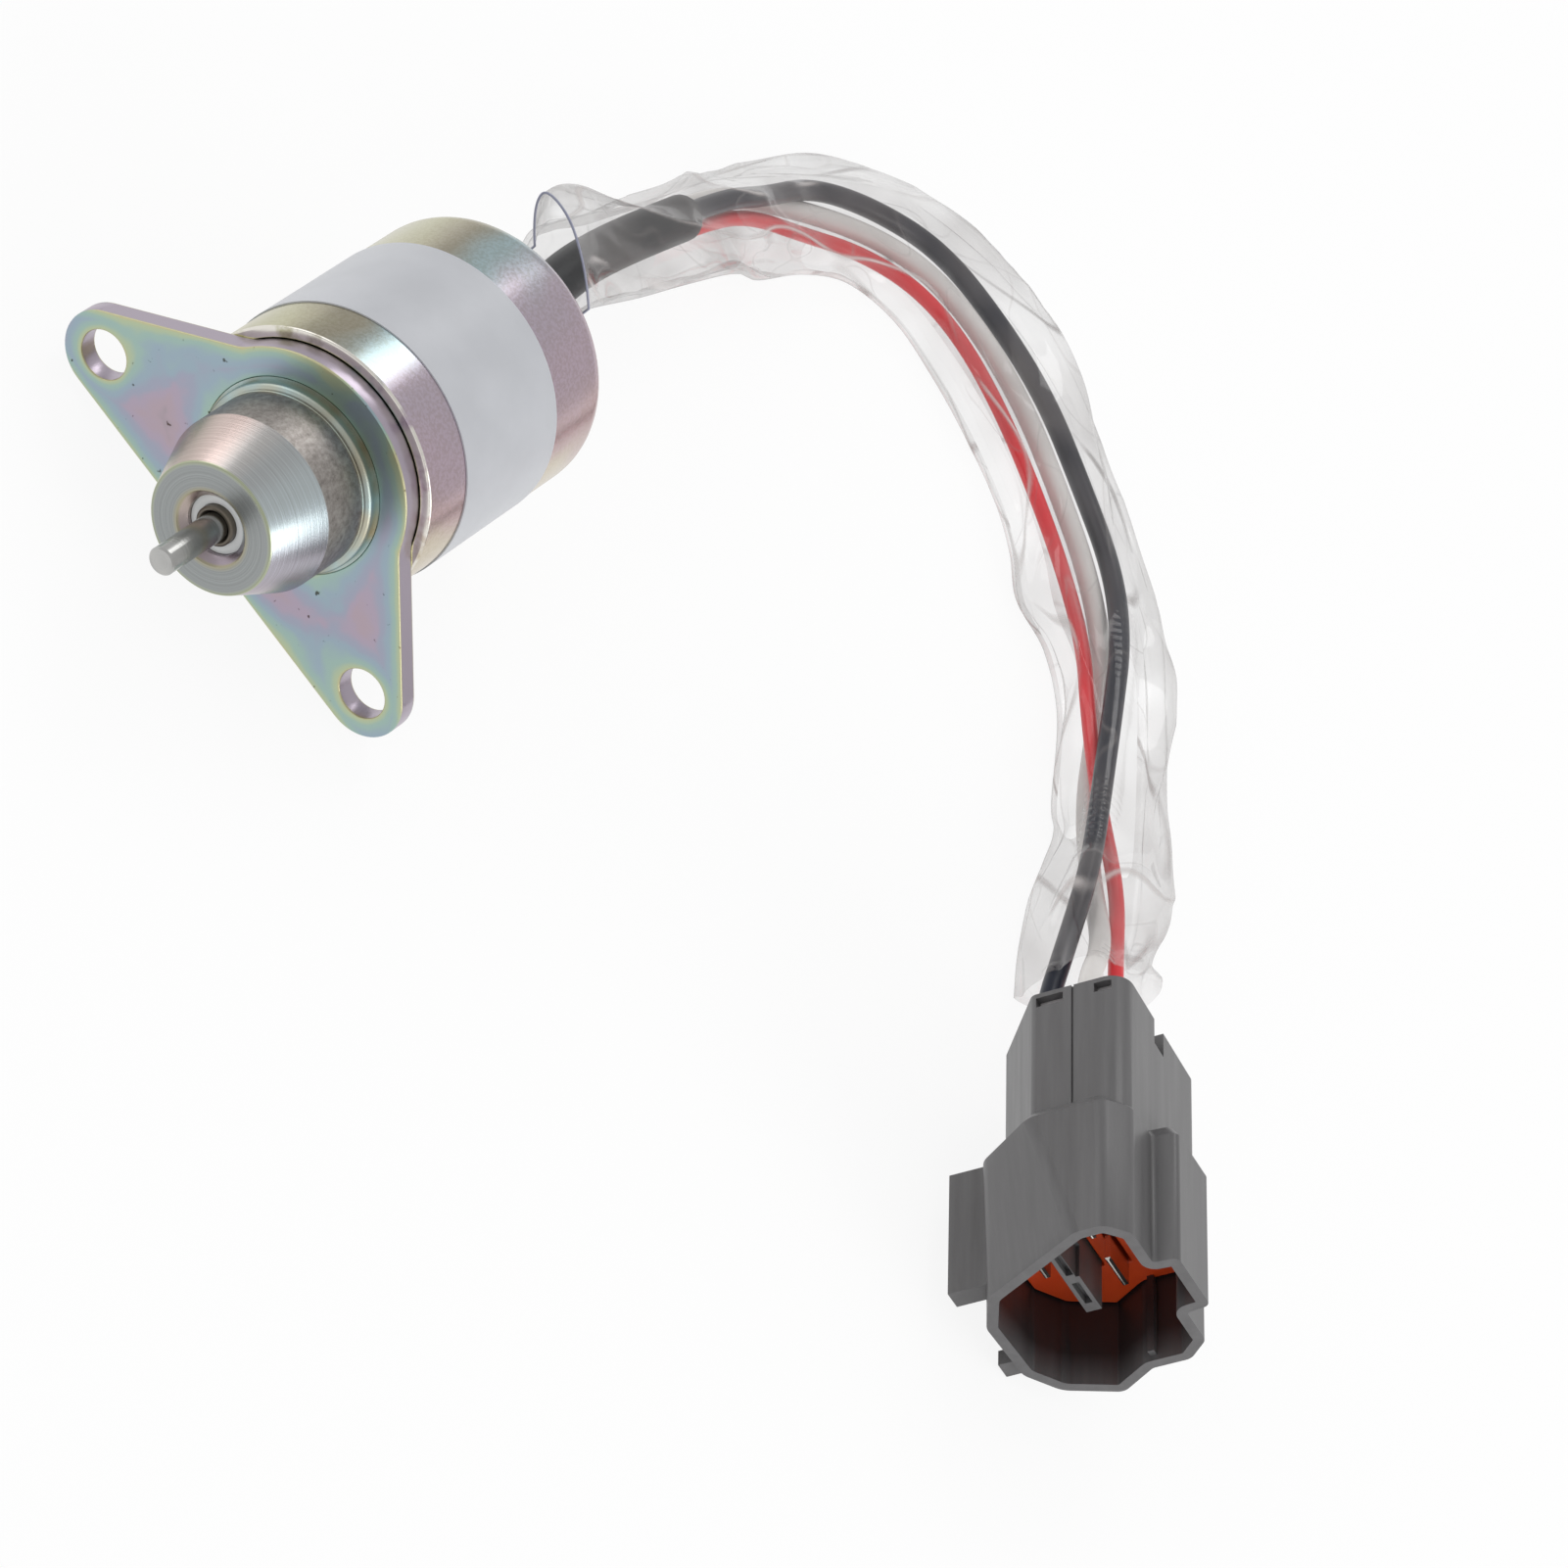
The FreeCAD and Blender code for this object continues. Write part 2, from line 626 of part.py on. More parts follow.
def make_divider():
    wall = box(divider_u0, divider_u1, divider_w0, divider_w1, -cavity_depth, -divider_front)
    for u in (divider_u0 + 1.2, (divider_u0 + divider_u1) / 2 + 0.6):
        wall = wall.cut(box(u, u + 4.6, divider_w0 + 0.6, divider_w1 - 0.6, -divider_front - 1.2, 1))
    step_end = -divider_front - 5
    wall = wall.cut(box(divider_u0 - 1, divider_u0 + 6.4, divider_w1 - 0.5, divider_w1 + 1, step_end, 1))
    return wall


def make_wire_seal(u, w, r):
    length = wire_seal_back - wire_seal_front
    body = Part.makeCylinder(seal_r, length, vec(u, w, -wire_seal_front), vec(0, 0, -1))
    bore = Part.makeCylinder(r + 0.03, housing_len, vec(u, w, -wire_seal_front + 1), vec(0, 0, -1))
    return body.cut(bore)


def shrink_end():
    b = vec(*shrink_route[-1])
    along = b - vec(*shrink_route[-2])
    along.normalize()
    side = along.cross(vec(0, 0, 1)) * -1
    if side.y < 0:
        side = side * -1
    side.normalize()
    up = side.cross(along)
    if up.z < 0:
        up = up * -1
    return b, along, side, up


def wire_points(side_by, up_by, route, pole):
    end, along, side, up = shrink_end()
    start = end + side * side_by + up * up_by
    lead = start + along * wire_lead
    seat = in_room(pole_u[pole], pole_w[pole], -barrel_end)
    mouth = in_room(pole_u[pole], pole_w[pole], -housing_len - 7.0)
    points = [start, lead] + [vec(*p) for p in route] + [mouth, seat]
    return [(p.x, p.y, p.z) for p in points]


def make_sleeve():
    # a ruled skin from station to station, less the same skin one wall further in
    skins = []
    for wall in (0.0, sleeve_wall):
        skins.append(Part.makeLoft([sleeve_ring(station, wall) for station in sleeve_stations], True, True))
    return skins[0].cut(skins[1])


def main():
    os.makedirs("parts", exist_ok=True)
    save(make_can(), "can")
    save(make_flange(), "mounting_flange")
    save(make_nose(), "nose")
    save(make_washer(), "nose_washer")
    save(make_bushing(), "pin_bushing")
    save(make_plunger(), "plunger")
    save(make_pin(), "plunger_pin")
    save(make_spring(), "return_spring")
    save(make_pole_piece(), "pole_piece")
    save(make_guide_tube(), "guide_tube")
    save(make_bobbin(), "bobbin")
    pull, hold = make_coils()
    save(pull, "pull_coil")
    save(hold, "hold_coil")
    save(make_rear_plate(), "rear_plate")
    save(make_grommet(), "cable_grommet")
    save(make_label(), "label")
    save(cord(shrink_route, shrink_r, "heat_shrink"), "heat_shrink")
    save(cord(wire_points(0.2, 1.7, black_route, 0), black_r, "black_wire"), "black_wire")
    save(cord(wire_points(-1.5, -1.0, white_route, 1), white_r, "white_wire"), "white_wire")
    save(cord(wire_points(1.7, -1.05, red_route, 2), red_r, "red_wire"), "red_wire")
    save(make_sleeve(), "clear_sleeve")
    housing = placed(make_housing())
    print("connector reaches down to", round(housing.BoundBox.ZMin, 2), "floor", floor_z)
    save(housing, "connector_housing")
    save(placed(retainer_blank(retainer_gap)), "terminal_retainer")
    save(placed(make_front_seal()), "front_seal")
    save(placed(make_divider()), "terminal_divider")
    for name, i, r in (("black", 0, black_r), ("white", 1, white_r), ("red", 2, red_r)):
        save(placed(make_terminal(pole_u[i], pole_w[i])), name + "_terminal")
        save(placed(make_wire_seal(pole_u[i], pole_w[i], r)), name + "_wire_seal")


main()
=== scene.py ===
import json
import math

import bmesh
import bpy
from mathutils import Matrix, Vector, kdtree


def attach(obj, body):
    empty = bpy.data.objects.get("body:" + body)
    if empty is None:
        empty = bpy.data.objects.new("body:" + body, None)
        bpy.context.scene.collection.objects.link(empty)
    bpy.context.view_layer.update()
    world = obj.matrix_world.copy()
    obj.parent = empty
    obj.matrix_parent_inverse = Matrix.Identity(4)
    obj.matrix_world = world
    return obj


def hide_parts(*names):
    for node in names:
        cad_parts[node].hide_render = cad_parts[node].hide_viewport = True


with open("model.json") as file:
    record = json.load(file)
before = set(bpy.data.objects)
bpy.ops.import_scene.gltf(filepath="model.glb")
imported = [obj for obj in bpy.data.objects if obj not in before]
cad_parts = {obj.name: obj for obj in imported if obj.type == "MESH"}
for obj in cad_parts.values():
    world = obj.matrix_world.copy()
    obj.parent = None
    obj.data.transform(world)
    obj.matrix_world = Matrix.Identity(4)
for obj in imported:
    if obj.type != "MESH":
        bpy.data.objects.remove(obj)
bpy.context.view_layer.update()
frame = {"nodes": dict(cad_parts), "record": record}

mm = 0.001
scene = bpy.context.scene
scene.view_settings.view_transform = "Standard"

# the photograph's viewpoint: the columns of its turn, and a long lens
cameraAim = {
    "place": (0.69315, 0.05255, 0.62906),
    "right": (-0.510666, 0.605020, 0.610877),
    "up": (-0.404334, -0.796029, 0.450391),
    "back": (0.758772, -0.016999, 0.651135),
    "lensMm": 170.543,
    "sensorMm": 36.0,
    "nearM": 0.05,
    "farM": 20.0,
}


def makeCamera():
    cameraData = bpy.data.cameras.new("photoCamera")
    cameraData.lens = cameraAim["lensMm"]
    cameraData.sensor_width = cameraAim["sensorMm"]
    cameraData.clip_start = cameraAim["nearM"]
    cameraData.clip_end = cameraAim["farM"]
    camera = bpy.data.objects.new("photoCamera", cameraData)
    turn = Matrix((cameraAim["right"], cameraAim["up"], cameraAim["back"])).transposed()
    camera.matrix_world = Matrix.Translation(cameraAim["place"]) @ turn.to_4x4()
    scene.collection.objects.link(camera)
    scene.camera = camera


makeCamera()
print("camera placed")


def linearColour(hexText):
    # a written sRGB colour as the linear value that shaders take
    out = []
    for i in (0, 2, 4):
        part = int(hexText[i + 1:i + 3], 16) / 255
        out.append(part / 12.92 if part <= 0.04045 else ((part + 0.055) / 1.055) ** 2.4)
    return (out[0], out[1], out[2], 1.0)


def setInputs(tree, node, inputs):
    # an input takes a value, a node for its first output, or (node, output); a pair of inputs takes a pair
    for key, value in inputs.items():
        if isinstance(key, tuple):
            setInputs(tree, node, dict(zip(key, value)))
        elif isinstance(value, bpy.types.Node):
            tree.links.new(value.outputs[0], node.inputs[key])
        elif isinstance(value, tuple) and isinstance(value[0], bpy.types.Node):
            tree.links.new(value[0].outputs[value[1]], node.inputs[key])
        else:
            node.inputs[key].default_value = value


def addNode(tree, kind, settings=None, inputs=None):
    # one node with its settings and inputs; a kind without a family is a shader node
    node = tree.nodes.new(kind if "Node" in kind else "ShaderNode" + kind)
    for key, value in (settings or {}).items():
        setattr(node, key, value)
    setInputs(tree, node, inputs or {})
    return node


# the two ways of mixing colours, and the sockets of a Mix node and a Map Range node
colours = {"data_type": "RGBA"}
multiplied = {"data_type": "RGBA", "blend_type": "MULTIPLY"}
colourA, colourB, mixedColour = 6, 7, 2
valueA, valueB = 2, 3
fromRange = ("From Min", "From Max")
toRange = ("To Min", "To Max")


def setRamp(node, stops, ease="LINEAR"):
    # stops: (position, hex colour) from left to right
    ramp = node.color_ramp
    ramp.interpolation = ease
    while len(ramp.elements) < len(stops):
        ramp.elements.new(0.5)
    for element, (place, colour) in zip(ramp.elements, stops):
        element.position = place
        element.color = linearColour(colour)


def newMaterial(name):
    material = bpy.data.materials.new(name)
    material.use_nodes = True
    tree = material.node_tree
    tree.nodes.clear()
    shader = addNode(tree, "BsdfPrincipled")
    addNode(tree, "OutputMaterial", {"name": "surface"}, {"Surface": shader})
    return material, tree, shader


def placeInMm(tree, coord):
    # the object's own coordinates in millimetres
    return addNode(tree, "VectorMath", {"operation": "SCALE"}, {0: (coord, "Object"), "Scale": 1000.0})


def fromAxisX(tree, axes):
    # the distance from the X axis
    radial = addNode(tree, "CombineXYZ", inputs={"Y": (axes, "Y"), "Z": (axes, "Z")})
    radius = addNode(tree, "VectorMath", {"operation": "LENGTH"}, {0: radial})
    return radius, "Value"


def turnRoundX(tree, axes):
    # 0 to 1 round the X axis, from the underside up one side, over the top and down the other
    angle = addNode(tree, "Math", {"operation": "ARCTAN2"}, {0: (axes, "Y"), 1: (axes, "Z")})
    return addNode(tree, "MapRange", inputs={"Value": angle, fromRange: (-math.pi, math.pi)})


def raiseBy(tree, shader, height, depthMm):
    # a bump as deep as this where the height goes from 0 to 1
    bump = addNode(tree, "Bump", inputs={"Height": height, "Distance": depthMm * mm})
    setInputs(tree, shader, {"Normal": bump})


def fineBump(tree, shader, coord, sizeMm, heightMm, detail=2.0):
    # an even, fine unevenness of the surface
    grain = addNode(tree, "TexNoise", inputs={
        "Vector": (coord, "Object"), "Scale": 1000 / sizeMm, "Detail": detail})
    raiseBy(tree, shader, grain, heightMm)


zincLook = {
    "round": [  # round the can, from its underside up one side, over the top and down the other
        (0.0, "#CFC4B4"), (0.22, "#C4BFA2"), (0.32, "#BFBDA0"), (0.385, "#A6A08F"), (0.45, "#A9BCC0"),
        (0.505, "#BBAFBB"), (0.59, "#C2B0BC"), (0.66, "#C0A8AA"), (0.72, "#CBC0AC"), (1.0, "#CFC4B4"),
    ],
    "patchMm": 17.0,
    "patchShift": 0.16,
    "speckleMm": 0.45,
    "speckleHeightMm": 0.0012,
    "speckle": [(0.38, "#F3F1EC"), (0.6, "#FFFFFF")],
    "roughness": (0.17, 0.29),
    # the bright line on the front rim: partly bare worn zinc, partly a painted highlight on the rim's
    # rounding
    "rimMm": (-3.34, -3.24),
    "chipMm": 2.6,
    "chipped": (0.3, 0.5),
    "rimWearAndHighlight": "#E4E0D8",
}


def makeCanZinc():
    # zinc plate with an iridescent passivate over drawn steel: soft bands of olive, blue and pink
    # that run round the can, under a fine speckle, and a bright line along the front rim, partly bare worn
    # zinc and partly a painted highlight on the rim's rounding
    look = zincLook
    material, tree, shader = newMaterial("iridescentZinc")
    coord = addNode(tree, "TexCoord")
    axes = addNode(tree, "SeparateXYZ", inputs={"Vector": (coord, "Object")})
    turn = turnRoundX(tree, axes)
    patches = addNode(tree, "TexNoise", inputs={
        "Vector": (coord, "Object"), "Scale": 1000 / look["patchMm"], "Roughness": 0.45})
    shift = addNode(tree, "Math", {"operation": "MULTIPLY_ADD"}, {
        0: patches, 1: look["patchShift"], 2: turn})
    centred = addNode(tree, "Math", {"operation": "SUBTRACT"}, {0: shift, 1: look["patchShift"] / 2})
    tint = addNode(tree, "ValToRGB", inputs={"Fac": centred})
    setRamp(tint, look["round"], "EASE")
    speckle = addNode(tree, "TexNoise", inputs={
        "Vector": (coord, "Object"), "Scale": 1000 / look["speckleMm"]})
    speckTone = addNode(tree, "ValToRGB", inputs={"Fac": speckle})
    setRamp(speckTone, look["speckle"])
    mixed = addNode(tree, "Mix", multiplied, {"Factor": 1.0, colourA: tint, colourB: speckTone})
    # a bright chipped line round the front rim: partly wear, partly a painted highlight
    rim = addNode(tree, "MapRange", inputs={
        "Value": (axes, "X"), fromRange: [x * mm for x in look["rimMm"]]})
    chips = addNode(tree, "TexNoise", inputs={
        "Vector": (coord, "Object"), "Scale": 1000 / look["chipMm"], "Detail": 3.0})
    chipped = addNode(tree, "MapRange", inputs={"Value": chips, fromRange: look["chipped"]})
    rimWearAndLight = addNode(tree, "Math", {"operation": "MULTIPLY"}, {0: rim, 1: chipped})
    edged = addNode(tree, "Mix", colours, {
        "Factor": rimWearAndLight, colourA: (mixed, mixedColour), colourB: linearColour(look["rimWearAndHighlight"])})
    rough = addNode(tree, "MapRange", inputs={"Value": speckle, toRange: look["roughness"]})
    setInputs(tree, shader, {"Base Color": (edged, mixedColour), "Roughness": rough, "Metallic": 1.0})
    fineBump(tree, shader, coord, look["speckleMm"], look["speckleHeightMm"])
    return material


flangeForm = {  # millimetres, as the flange is built
    "boltY": 27.0, "boltZ": -12.95, "holeR": 3.45, "earR": 6.1, "lobeR": 17.4, "sideR": 16.035,
    "sideFacing": (0.0, 0.7071, 0.7071), "straightZ": -19.05, "rootR": 13.4, "thick": 3.0,
}
plateLook = {
    "fromEdge": [  # from the sheared edges inwards, over the width of a band
        (0.0, "#C2BE96"), (0.035, "#B3C0A2"), (0.11, "#A0B9B1"), (0.24, "#9CAEBA"), (0.38, "#A2A6B7"),
        (0.55, "#B0A3B3"), (0.78, "#B3A2AC"), (1.0, "#A3999F"),
    ],
    "bandMm": 10.0,
    "rootInsetMm": 1.2,
    "cloudMm": 12.0,
    "clouds": (0.3, 0.7),
    "stretch": (0.35, 1.75),
    "pitMm": 1.3,
    "pits": [(0.25, "#8B8278"), (0.3, "#FFFFFF")],
    "shearedSide": "#B4AAB6",
    "sideInsetMm": 0.32,
    "faceInsetMm": 0.12,
    "roughness": 0.33,
    "grainMm": 0.6,
    "grainHeightMm": 0.004,
}


def makeFlangeZinc():
    # the same finish on blanked steel plate: it pools along the sheared edges, yellow then teal,
    # and thins to blue and mauve in the middle, with small dark pits
    form = flangeForm
    look = plateLook
    material, tree, shader = newMaterial("iridescentZincPlate")
    coord = addNode(tree, "TexCoord")
    inMm = placeInMm(tree, coord)
    axes = addNode(tree, "SeparateXYZ", inputs={"Vector": inMm})
    halfY = addNode(tree, "Math", {"operation": "ABSOLUTE"}, {0: (axes, "Y")})
    flat = addNode(tree, "CombineXYZ", inputs={"Y": halfY, "Z": (axes, "Z")})
    fromAxis = addNode(tree, "VectorMath", {"operation": "LENGTH"}, {0: flat})
    fromBolt = addNode(tree, "VectorMath", {"operation": "DISTANCE"}, {
        0: flat, 1: (0.0, form["boltY"], form["boltZ"])})
    slant = addNode(tree, "VectorMath", {"operation": "DOT_PRODUCT"}, {0: flat, 1: form["sideFacing"]})
    # how far inside the plate's outline, and outside its holes, each point lies
    gaps = {"height": (axes, "Z")}
    for label, node in (("fromAxis", fromAxis), ("fromBolt", fromBolt), ("slant", slant)):
        gaps[label] = (node, "Value")
    for label, operation, first, second in (
        ("lobe", "SUBTRACT", form["lobeR"], "fromAxis"),
        ("ear", "SUBTRACT", form["earR"], "fromBolt"),
        ("straight", "SUBTRACT", "height", form["straightZ"]),
        ("side", "SUBTRACT", form["sideR"], "slant"),
        ("web", "MINIMUM", "straight", "side"),
        ("middle", "MAXIMUM", "web", "lobe"),
        ("plate", "MAXIMUM", "middle", "ear"),
        ("hole", "SUBTRACT", "fromBolt", form["holeR"]),
        ("root", "SUBTRACT", "fromAxis", form["rootR"] - look["rootInsetMm"]),
        ("besideHole", "MINIMUM", "plate", "hole"),
        ("nearest", "MINIMUM", "besideHole", "root"),
    ):
        gaps[label] = addNode(tree, "Math", {"operation": operation}, {
            0: gaps.get(first, first), 1: gaps.get(second, second)})
    clouds = addNode(tree, "TexNoise", inputs={
        "Vector": (coord, "Object"), "Scale": 1000 / look["cloudMm"], "Detail": 3.0})
    drift = addNode(tree, "MapRange", inputs={
        "Value": clouds, fromRange: look["clouds"], toRange: look["stretch"]})
    warped = addNode(tree, "Math", {"operation": "MULTIPLY"}, {0: gaps["nearest"], 1: drift})
    place = addNode(tree, "MapRange", inputs={"Value": warped, "From Max": look["bandMm"]})
    tint = addNode(tree, "ValToRGB", inputs={"Fac": place})
    setRamp(tint, look["fromEdge"], "EASE")
    pits = addNode(tree, "TexNoise", inputs={"Vector": (coord, "Object"), "Scale": 1000 / look["pitMm"]})
    pitTone = addNode(tree, "ValToRGB", inputs={"Fac": pits})
    setRamp(pitTone, look["pits"])
    mixed = addNode(tree, "Mix", multiplied, {"Factor": 1.0, colourA: tint, colourB: pitTone})
    halfThick = form["thick"] / 2
    offMiddle = addNode(tree, "Math", {"operation": "ADD"}, {0: (axes, "X"), 1: halfThick})
    offMiddle = addNode(tree, "Math", {"operation": "ABSOLUTE"}, {0: offMiddle})
    onFace = addNode(tree, "MapRange", inputs={
        "Value": offMiddle, "From Min": halfThick - look["sideInsetMm"],
        "From Max": halfThick - look["faceInsetMm"]})
    sided = addNode(tree, "Mix", colours, {
        "Factor": onFace, colourA: linearColour(look["shearedSide"]), colourB: (mixed, mixedColour)})
    setInputs(tree, shader, {
        "Base Color": (sided, mixedColour), "Roughness": look["roughness"], "Metallic": 1.0})
    fineBump(tree, shader, coord, look["grainMm"], look["grainHeightMm"], 3.0)
    return material


noseLook = {  # lengths in millimetres along and from the nose's axis
    "ringEnd": (1.75, 2.0),
    "collarEnd": (9.3, 9.5),
    "face": (17.35, 17.6),
    "faceRims": (5.0, 9.0),
    "collar": [(0.3, "#7A7470"), (0.5, "#9A9490"), (0.7, "#B3AEA9")],
    "ring": [(0.3, "#A29F8E"), (0.55, "#B2C4C2"), (0.75, "#C6BCA2")],
    # the cone's tint with painted reflections: the bright cream-pink band between one side and the top, the
    # pale teal one between the top and the other side
    "cone": [  # round the cone, from its underside up one side, over the top and down the other
        (0.0, "#B0A4A8"), (0.25, "#BFB1A8"), (0.3, "#C2B4AC"), (0.37, "#E4D0CA"), (0.43, "#C2C0BE"),
        (0.475, "#B4B8B9"), (0.54, "#BFC8CA"), (0.61, "#C9D6DB"), (0.68, "#B6B3BC"), (0.8, "#AEA2AC"),
        (1.0, "#B0A4A8"),
    ],
    "endFace": [(0.0, "#B0A98C"), (0.2, "#9FA3A3"), (0.86, "#9FA3A3"), (1.0, "#B5BC9F")],
    "latheLines": [(0.3, "#CFCECC"), (0.6, "#FFFFFF")],
    "latheShare": 0.9,
    "turnMm": 0.30,
    "latheDepthMm": 0.016,
    "grainPerMm": 1.1,
    "blotchPerMm": 0.12,
    "roughness": (0.4, 0.24),
    "spin": 0.65,
}


def makeNoseSteel():
    # one turned nose: a raised ring and a collar left rough and brown-grey by the plating, and a cone
    # and end face turned bright, with fine lathe lines; the cone's tint holds painted reflections in bands
    # round it
    look = noseLook
    material, tree, shader = newMaterial("platedTurnedNose")
    coord = addNode(tree, "TexCoord")
    inMm = placeInMm(tree, coord)
    axes = addNode(tree, "SeparateXYZ", inputs={"Vector": inMm})
    radius = fromAxisX(tree, axes)
    along = addNode(tree, "Math", {"operation": "SUBTRACT"}, {0: (axes, "X"), 1: radius})
    line = addNode(tree, "CombineXYZ", inputs={"X": along})
    lathe = addNode(tree, "TexNoise", inputs={
        "Vector": line, "Scale": 1 / look["turnMm"], "Detail": 4.0, "Roughness": 0.75})
    turn = turnRoundX(tree, axes)
    grain = addNode(tree, "TexNoise", inputs={
        "Vector": inMm, "Scale": look["grainPerMm"], "Detail": 6.0, "Roughness": 0.75})
    blotch = addNode(tree, "TexNoise", inputs={"Vector": inMm, "Scale": look["blotchPerMm"]})
    # the cone's tint by the angle round its axis, with its painted reflections
    coneTintAndReflections = addNode(tree, "ValToRGB", inputs={"Fac": turn})
    setRamp(coneTintAndReflections, look["cone"], "EASE")
    latheTone = addNode(tree, "ValToRGB", inputs={"Fac": lathe})
    setRamp(latheTone, look["latheLines"])
    rim = addNode(tree, "MapRange", inputs={"Value": radius, fromRange: look["faceRims"]})
    faceTint = addNode(tree, "ValToRGB", inputs={"Fac": rim})
    setRamp(faceTint, look["endFace"])
    onFace = addNode(tree, "MapRange", inputs={"Value": (axes, "X"), fromRange: look["face"]})
    faced = addNode(tree, "Mix", colours, {"Factor": onFace, colourA: coneTintAndReflections, colourB: faceTint})
    cone = addNode(tree, "Mix", multiplied, {
        "Factor": look["latheShare"], colourA: (faced, mixedColour), colourB: latheTone})
    collar = addNode(tree, "ValToRGB", inputs={"Fac": grain})
    setRamp(collar, look["collar"])
    ring = addNode(tree, "ValToRGB", inputs={"Fac": blotch})
    setRamp(ring, look["ring"])
    onCollar = addNode(tree, "MapRange", inputs={"Value": (axes, "X"), fromRange: look["ringEnd"]})
    lower = addNode(tree, "Mix", colours, {"Factor": onCollar, colourA: ring, colourB: collar})
    onCone = addNode(tree, "MapRange", inputs={"Value": (axes, "X"), fromRange: look["collarEnd"]})
    tint = addNode(tree, "Mix", colours, {
        "Factor": onCone, colourA: (lower, mixedColour), colourB: (cone, mixedColour)})
    rough = addNode(tree, "MapRange", inputs={"Value": onCone, toRange: look["roughness"]})
    setInputs(tree, shader, {"Base Color": (tint, mixedColour), "Roughness": rough})
    height = addNode(tree, "Mix", {"data_type": "FLOAT"}, {"Factor": onCone, valueA: grain, valueB: lathe})
    raiseBy(tree, shader, height, look["latheDepthMm"])
    finishTurned(tree, shader, look["spin"])
    return material


def finishTurned(tree, shader, spin):
    # bare metal whose highlight fans out round the X axis
    lay = addNode(tree, "Tangent", {"direction_type": "RADIAL", "axis": "X"})
    setInputs(tree, shader, {"Tangent": lay, "Metallic": 1.0, "Anisotropic": spin})


turnedLook = {
    "patchMm": 7.0,
    "ringShare": 0.35,
    "levels": (0.4, 0.95),
    "spin": 0.6,
}


def makeTurnedSteel(name, tones, roughness, ringMm, ringDepthMm):
    # lathe-turned metal: fine rings round the axis, and the fanned highlight that they give
    look = turnedLook
    material, tree, shader = newMaterial(name)
    coord = addNode(tree, "TexCoord")
    axes = addNode(tree, "SeparateXYZ", inputs={"Vector": (coord, "Object")})
    radius = fromAxisX(tree, axes)
    along = addNode(tree, "Math", {"operation": "ADD"}, {0: (axes, "X"), 1: radius})
    onAxis = addNode(tree, "CombineXYZ", inputs={"X": along})
    rings = addNode(tree, "TexNoise", inputs={
        "Vector": onAxis, "Scale": 1000 / ringMm, "Detail": 3.0, "Roughness": 0.7})
    patches = addNode(tree, "TexNoise", inputs={
        "Vector": (coord, "Object"), "Scale": 1000 / look["patchMm"]})
    both = addNode(tree, "Math", {"operation": "MULTIPLY_ADD"}, {
        0: rings, 1: look["ringShare"], 2: patches})
    level = addNode(tree, "MapRange", inputs={"Value": both, fromRange: look["levels"]})
    tint = addNode(tree, "ValToRGB", inputs={"Fac": level})
    setRamp(tint, tones)
    setInputs(tree, shader, {"Base Color": tint, "Roughness": roughness})
    raiseBy(tree, shader, rings, ringDepthMm)
    finishTurned(tree, shader, look["spin"])
    return material


mottleLook = {"sizeMm": 9.0, "darkAt": 0.35, "paleAt": 0.65}


def makePlastic(name, colour, darker, roughness, grainMm, heightMm, specular=0.5):
    # moulded plastic or rubber: one colour with a faint mottle and a fine moulded grain
    material, tree, shader = newMaterial(name)
    coord = addNode(tree, "TexCoord")
    mottle = addNode(tree, "TexNoise", inputs={
        "Vector": (coord, "Object"), "Scale": 1000 / mottleLook["sizeMm"], "Detail": 4.0})
    tint = addNode(tree, "ValToRGB", inputs={"Fac": mottle})
    setRamp(tint, [(mottleLook["darkAt"], darker), (mottleLook["paleAt"], colour)])
    setInputs(tree, shader, {"Base Color": tint, "Roughness": roughness, "Specular IOR Level": specular})
    fineBump(tree, shader, coord, grainMm, heightMm)
    return material


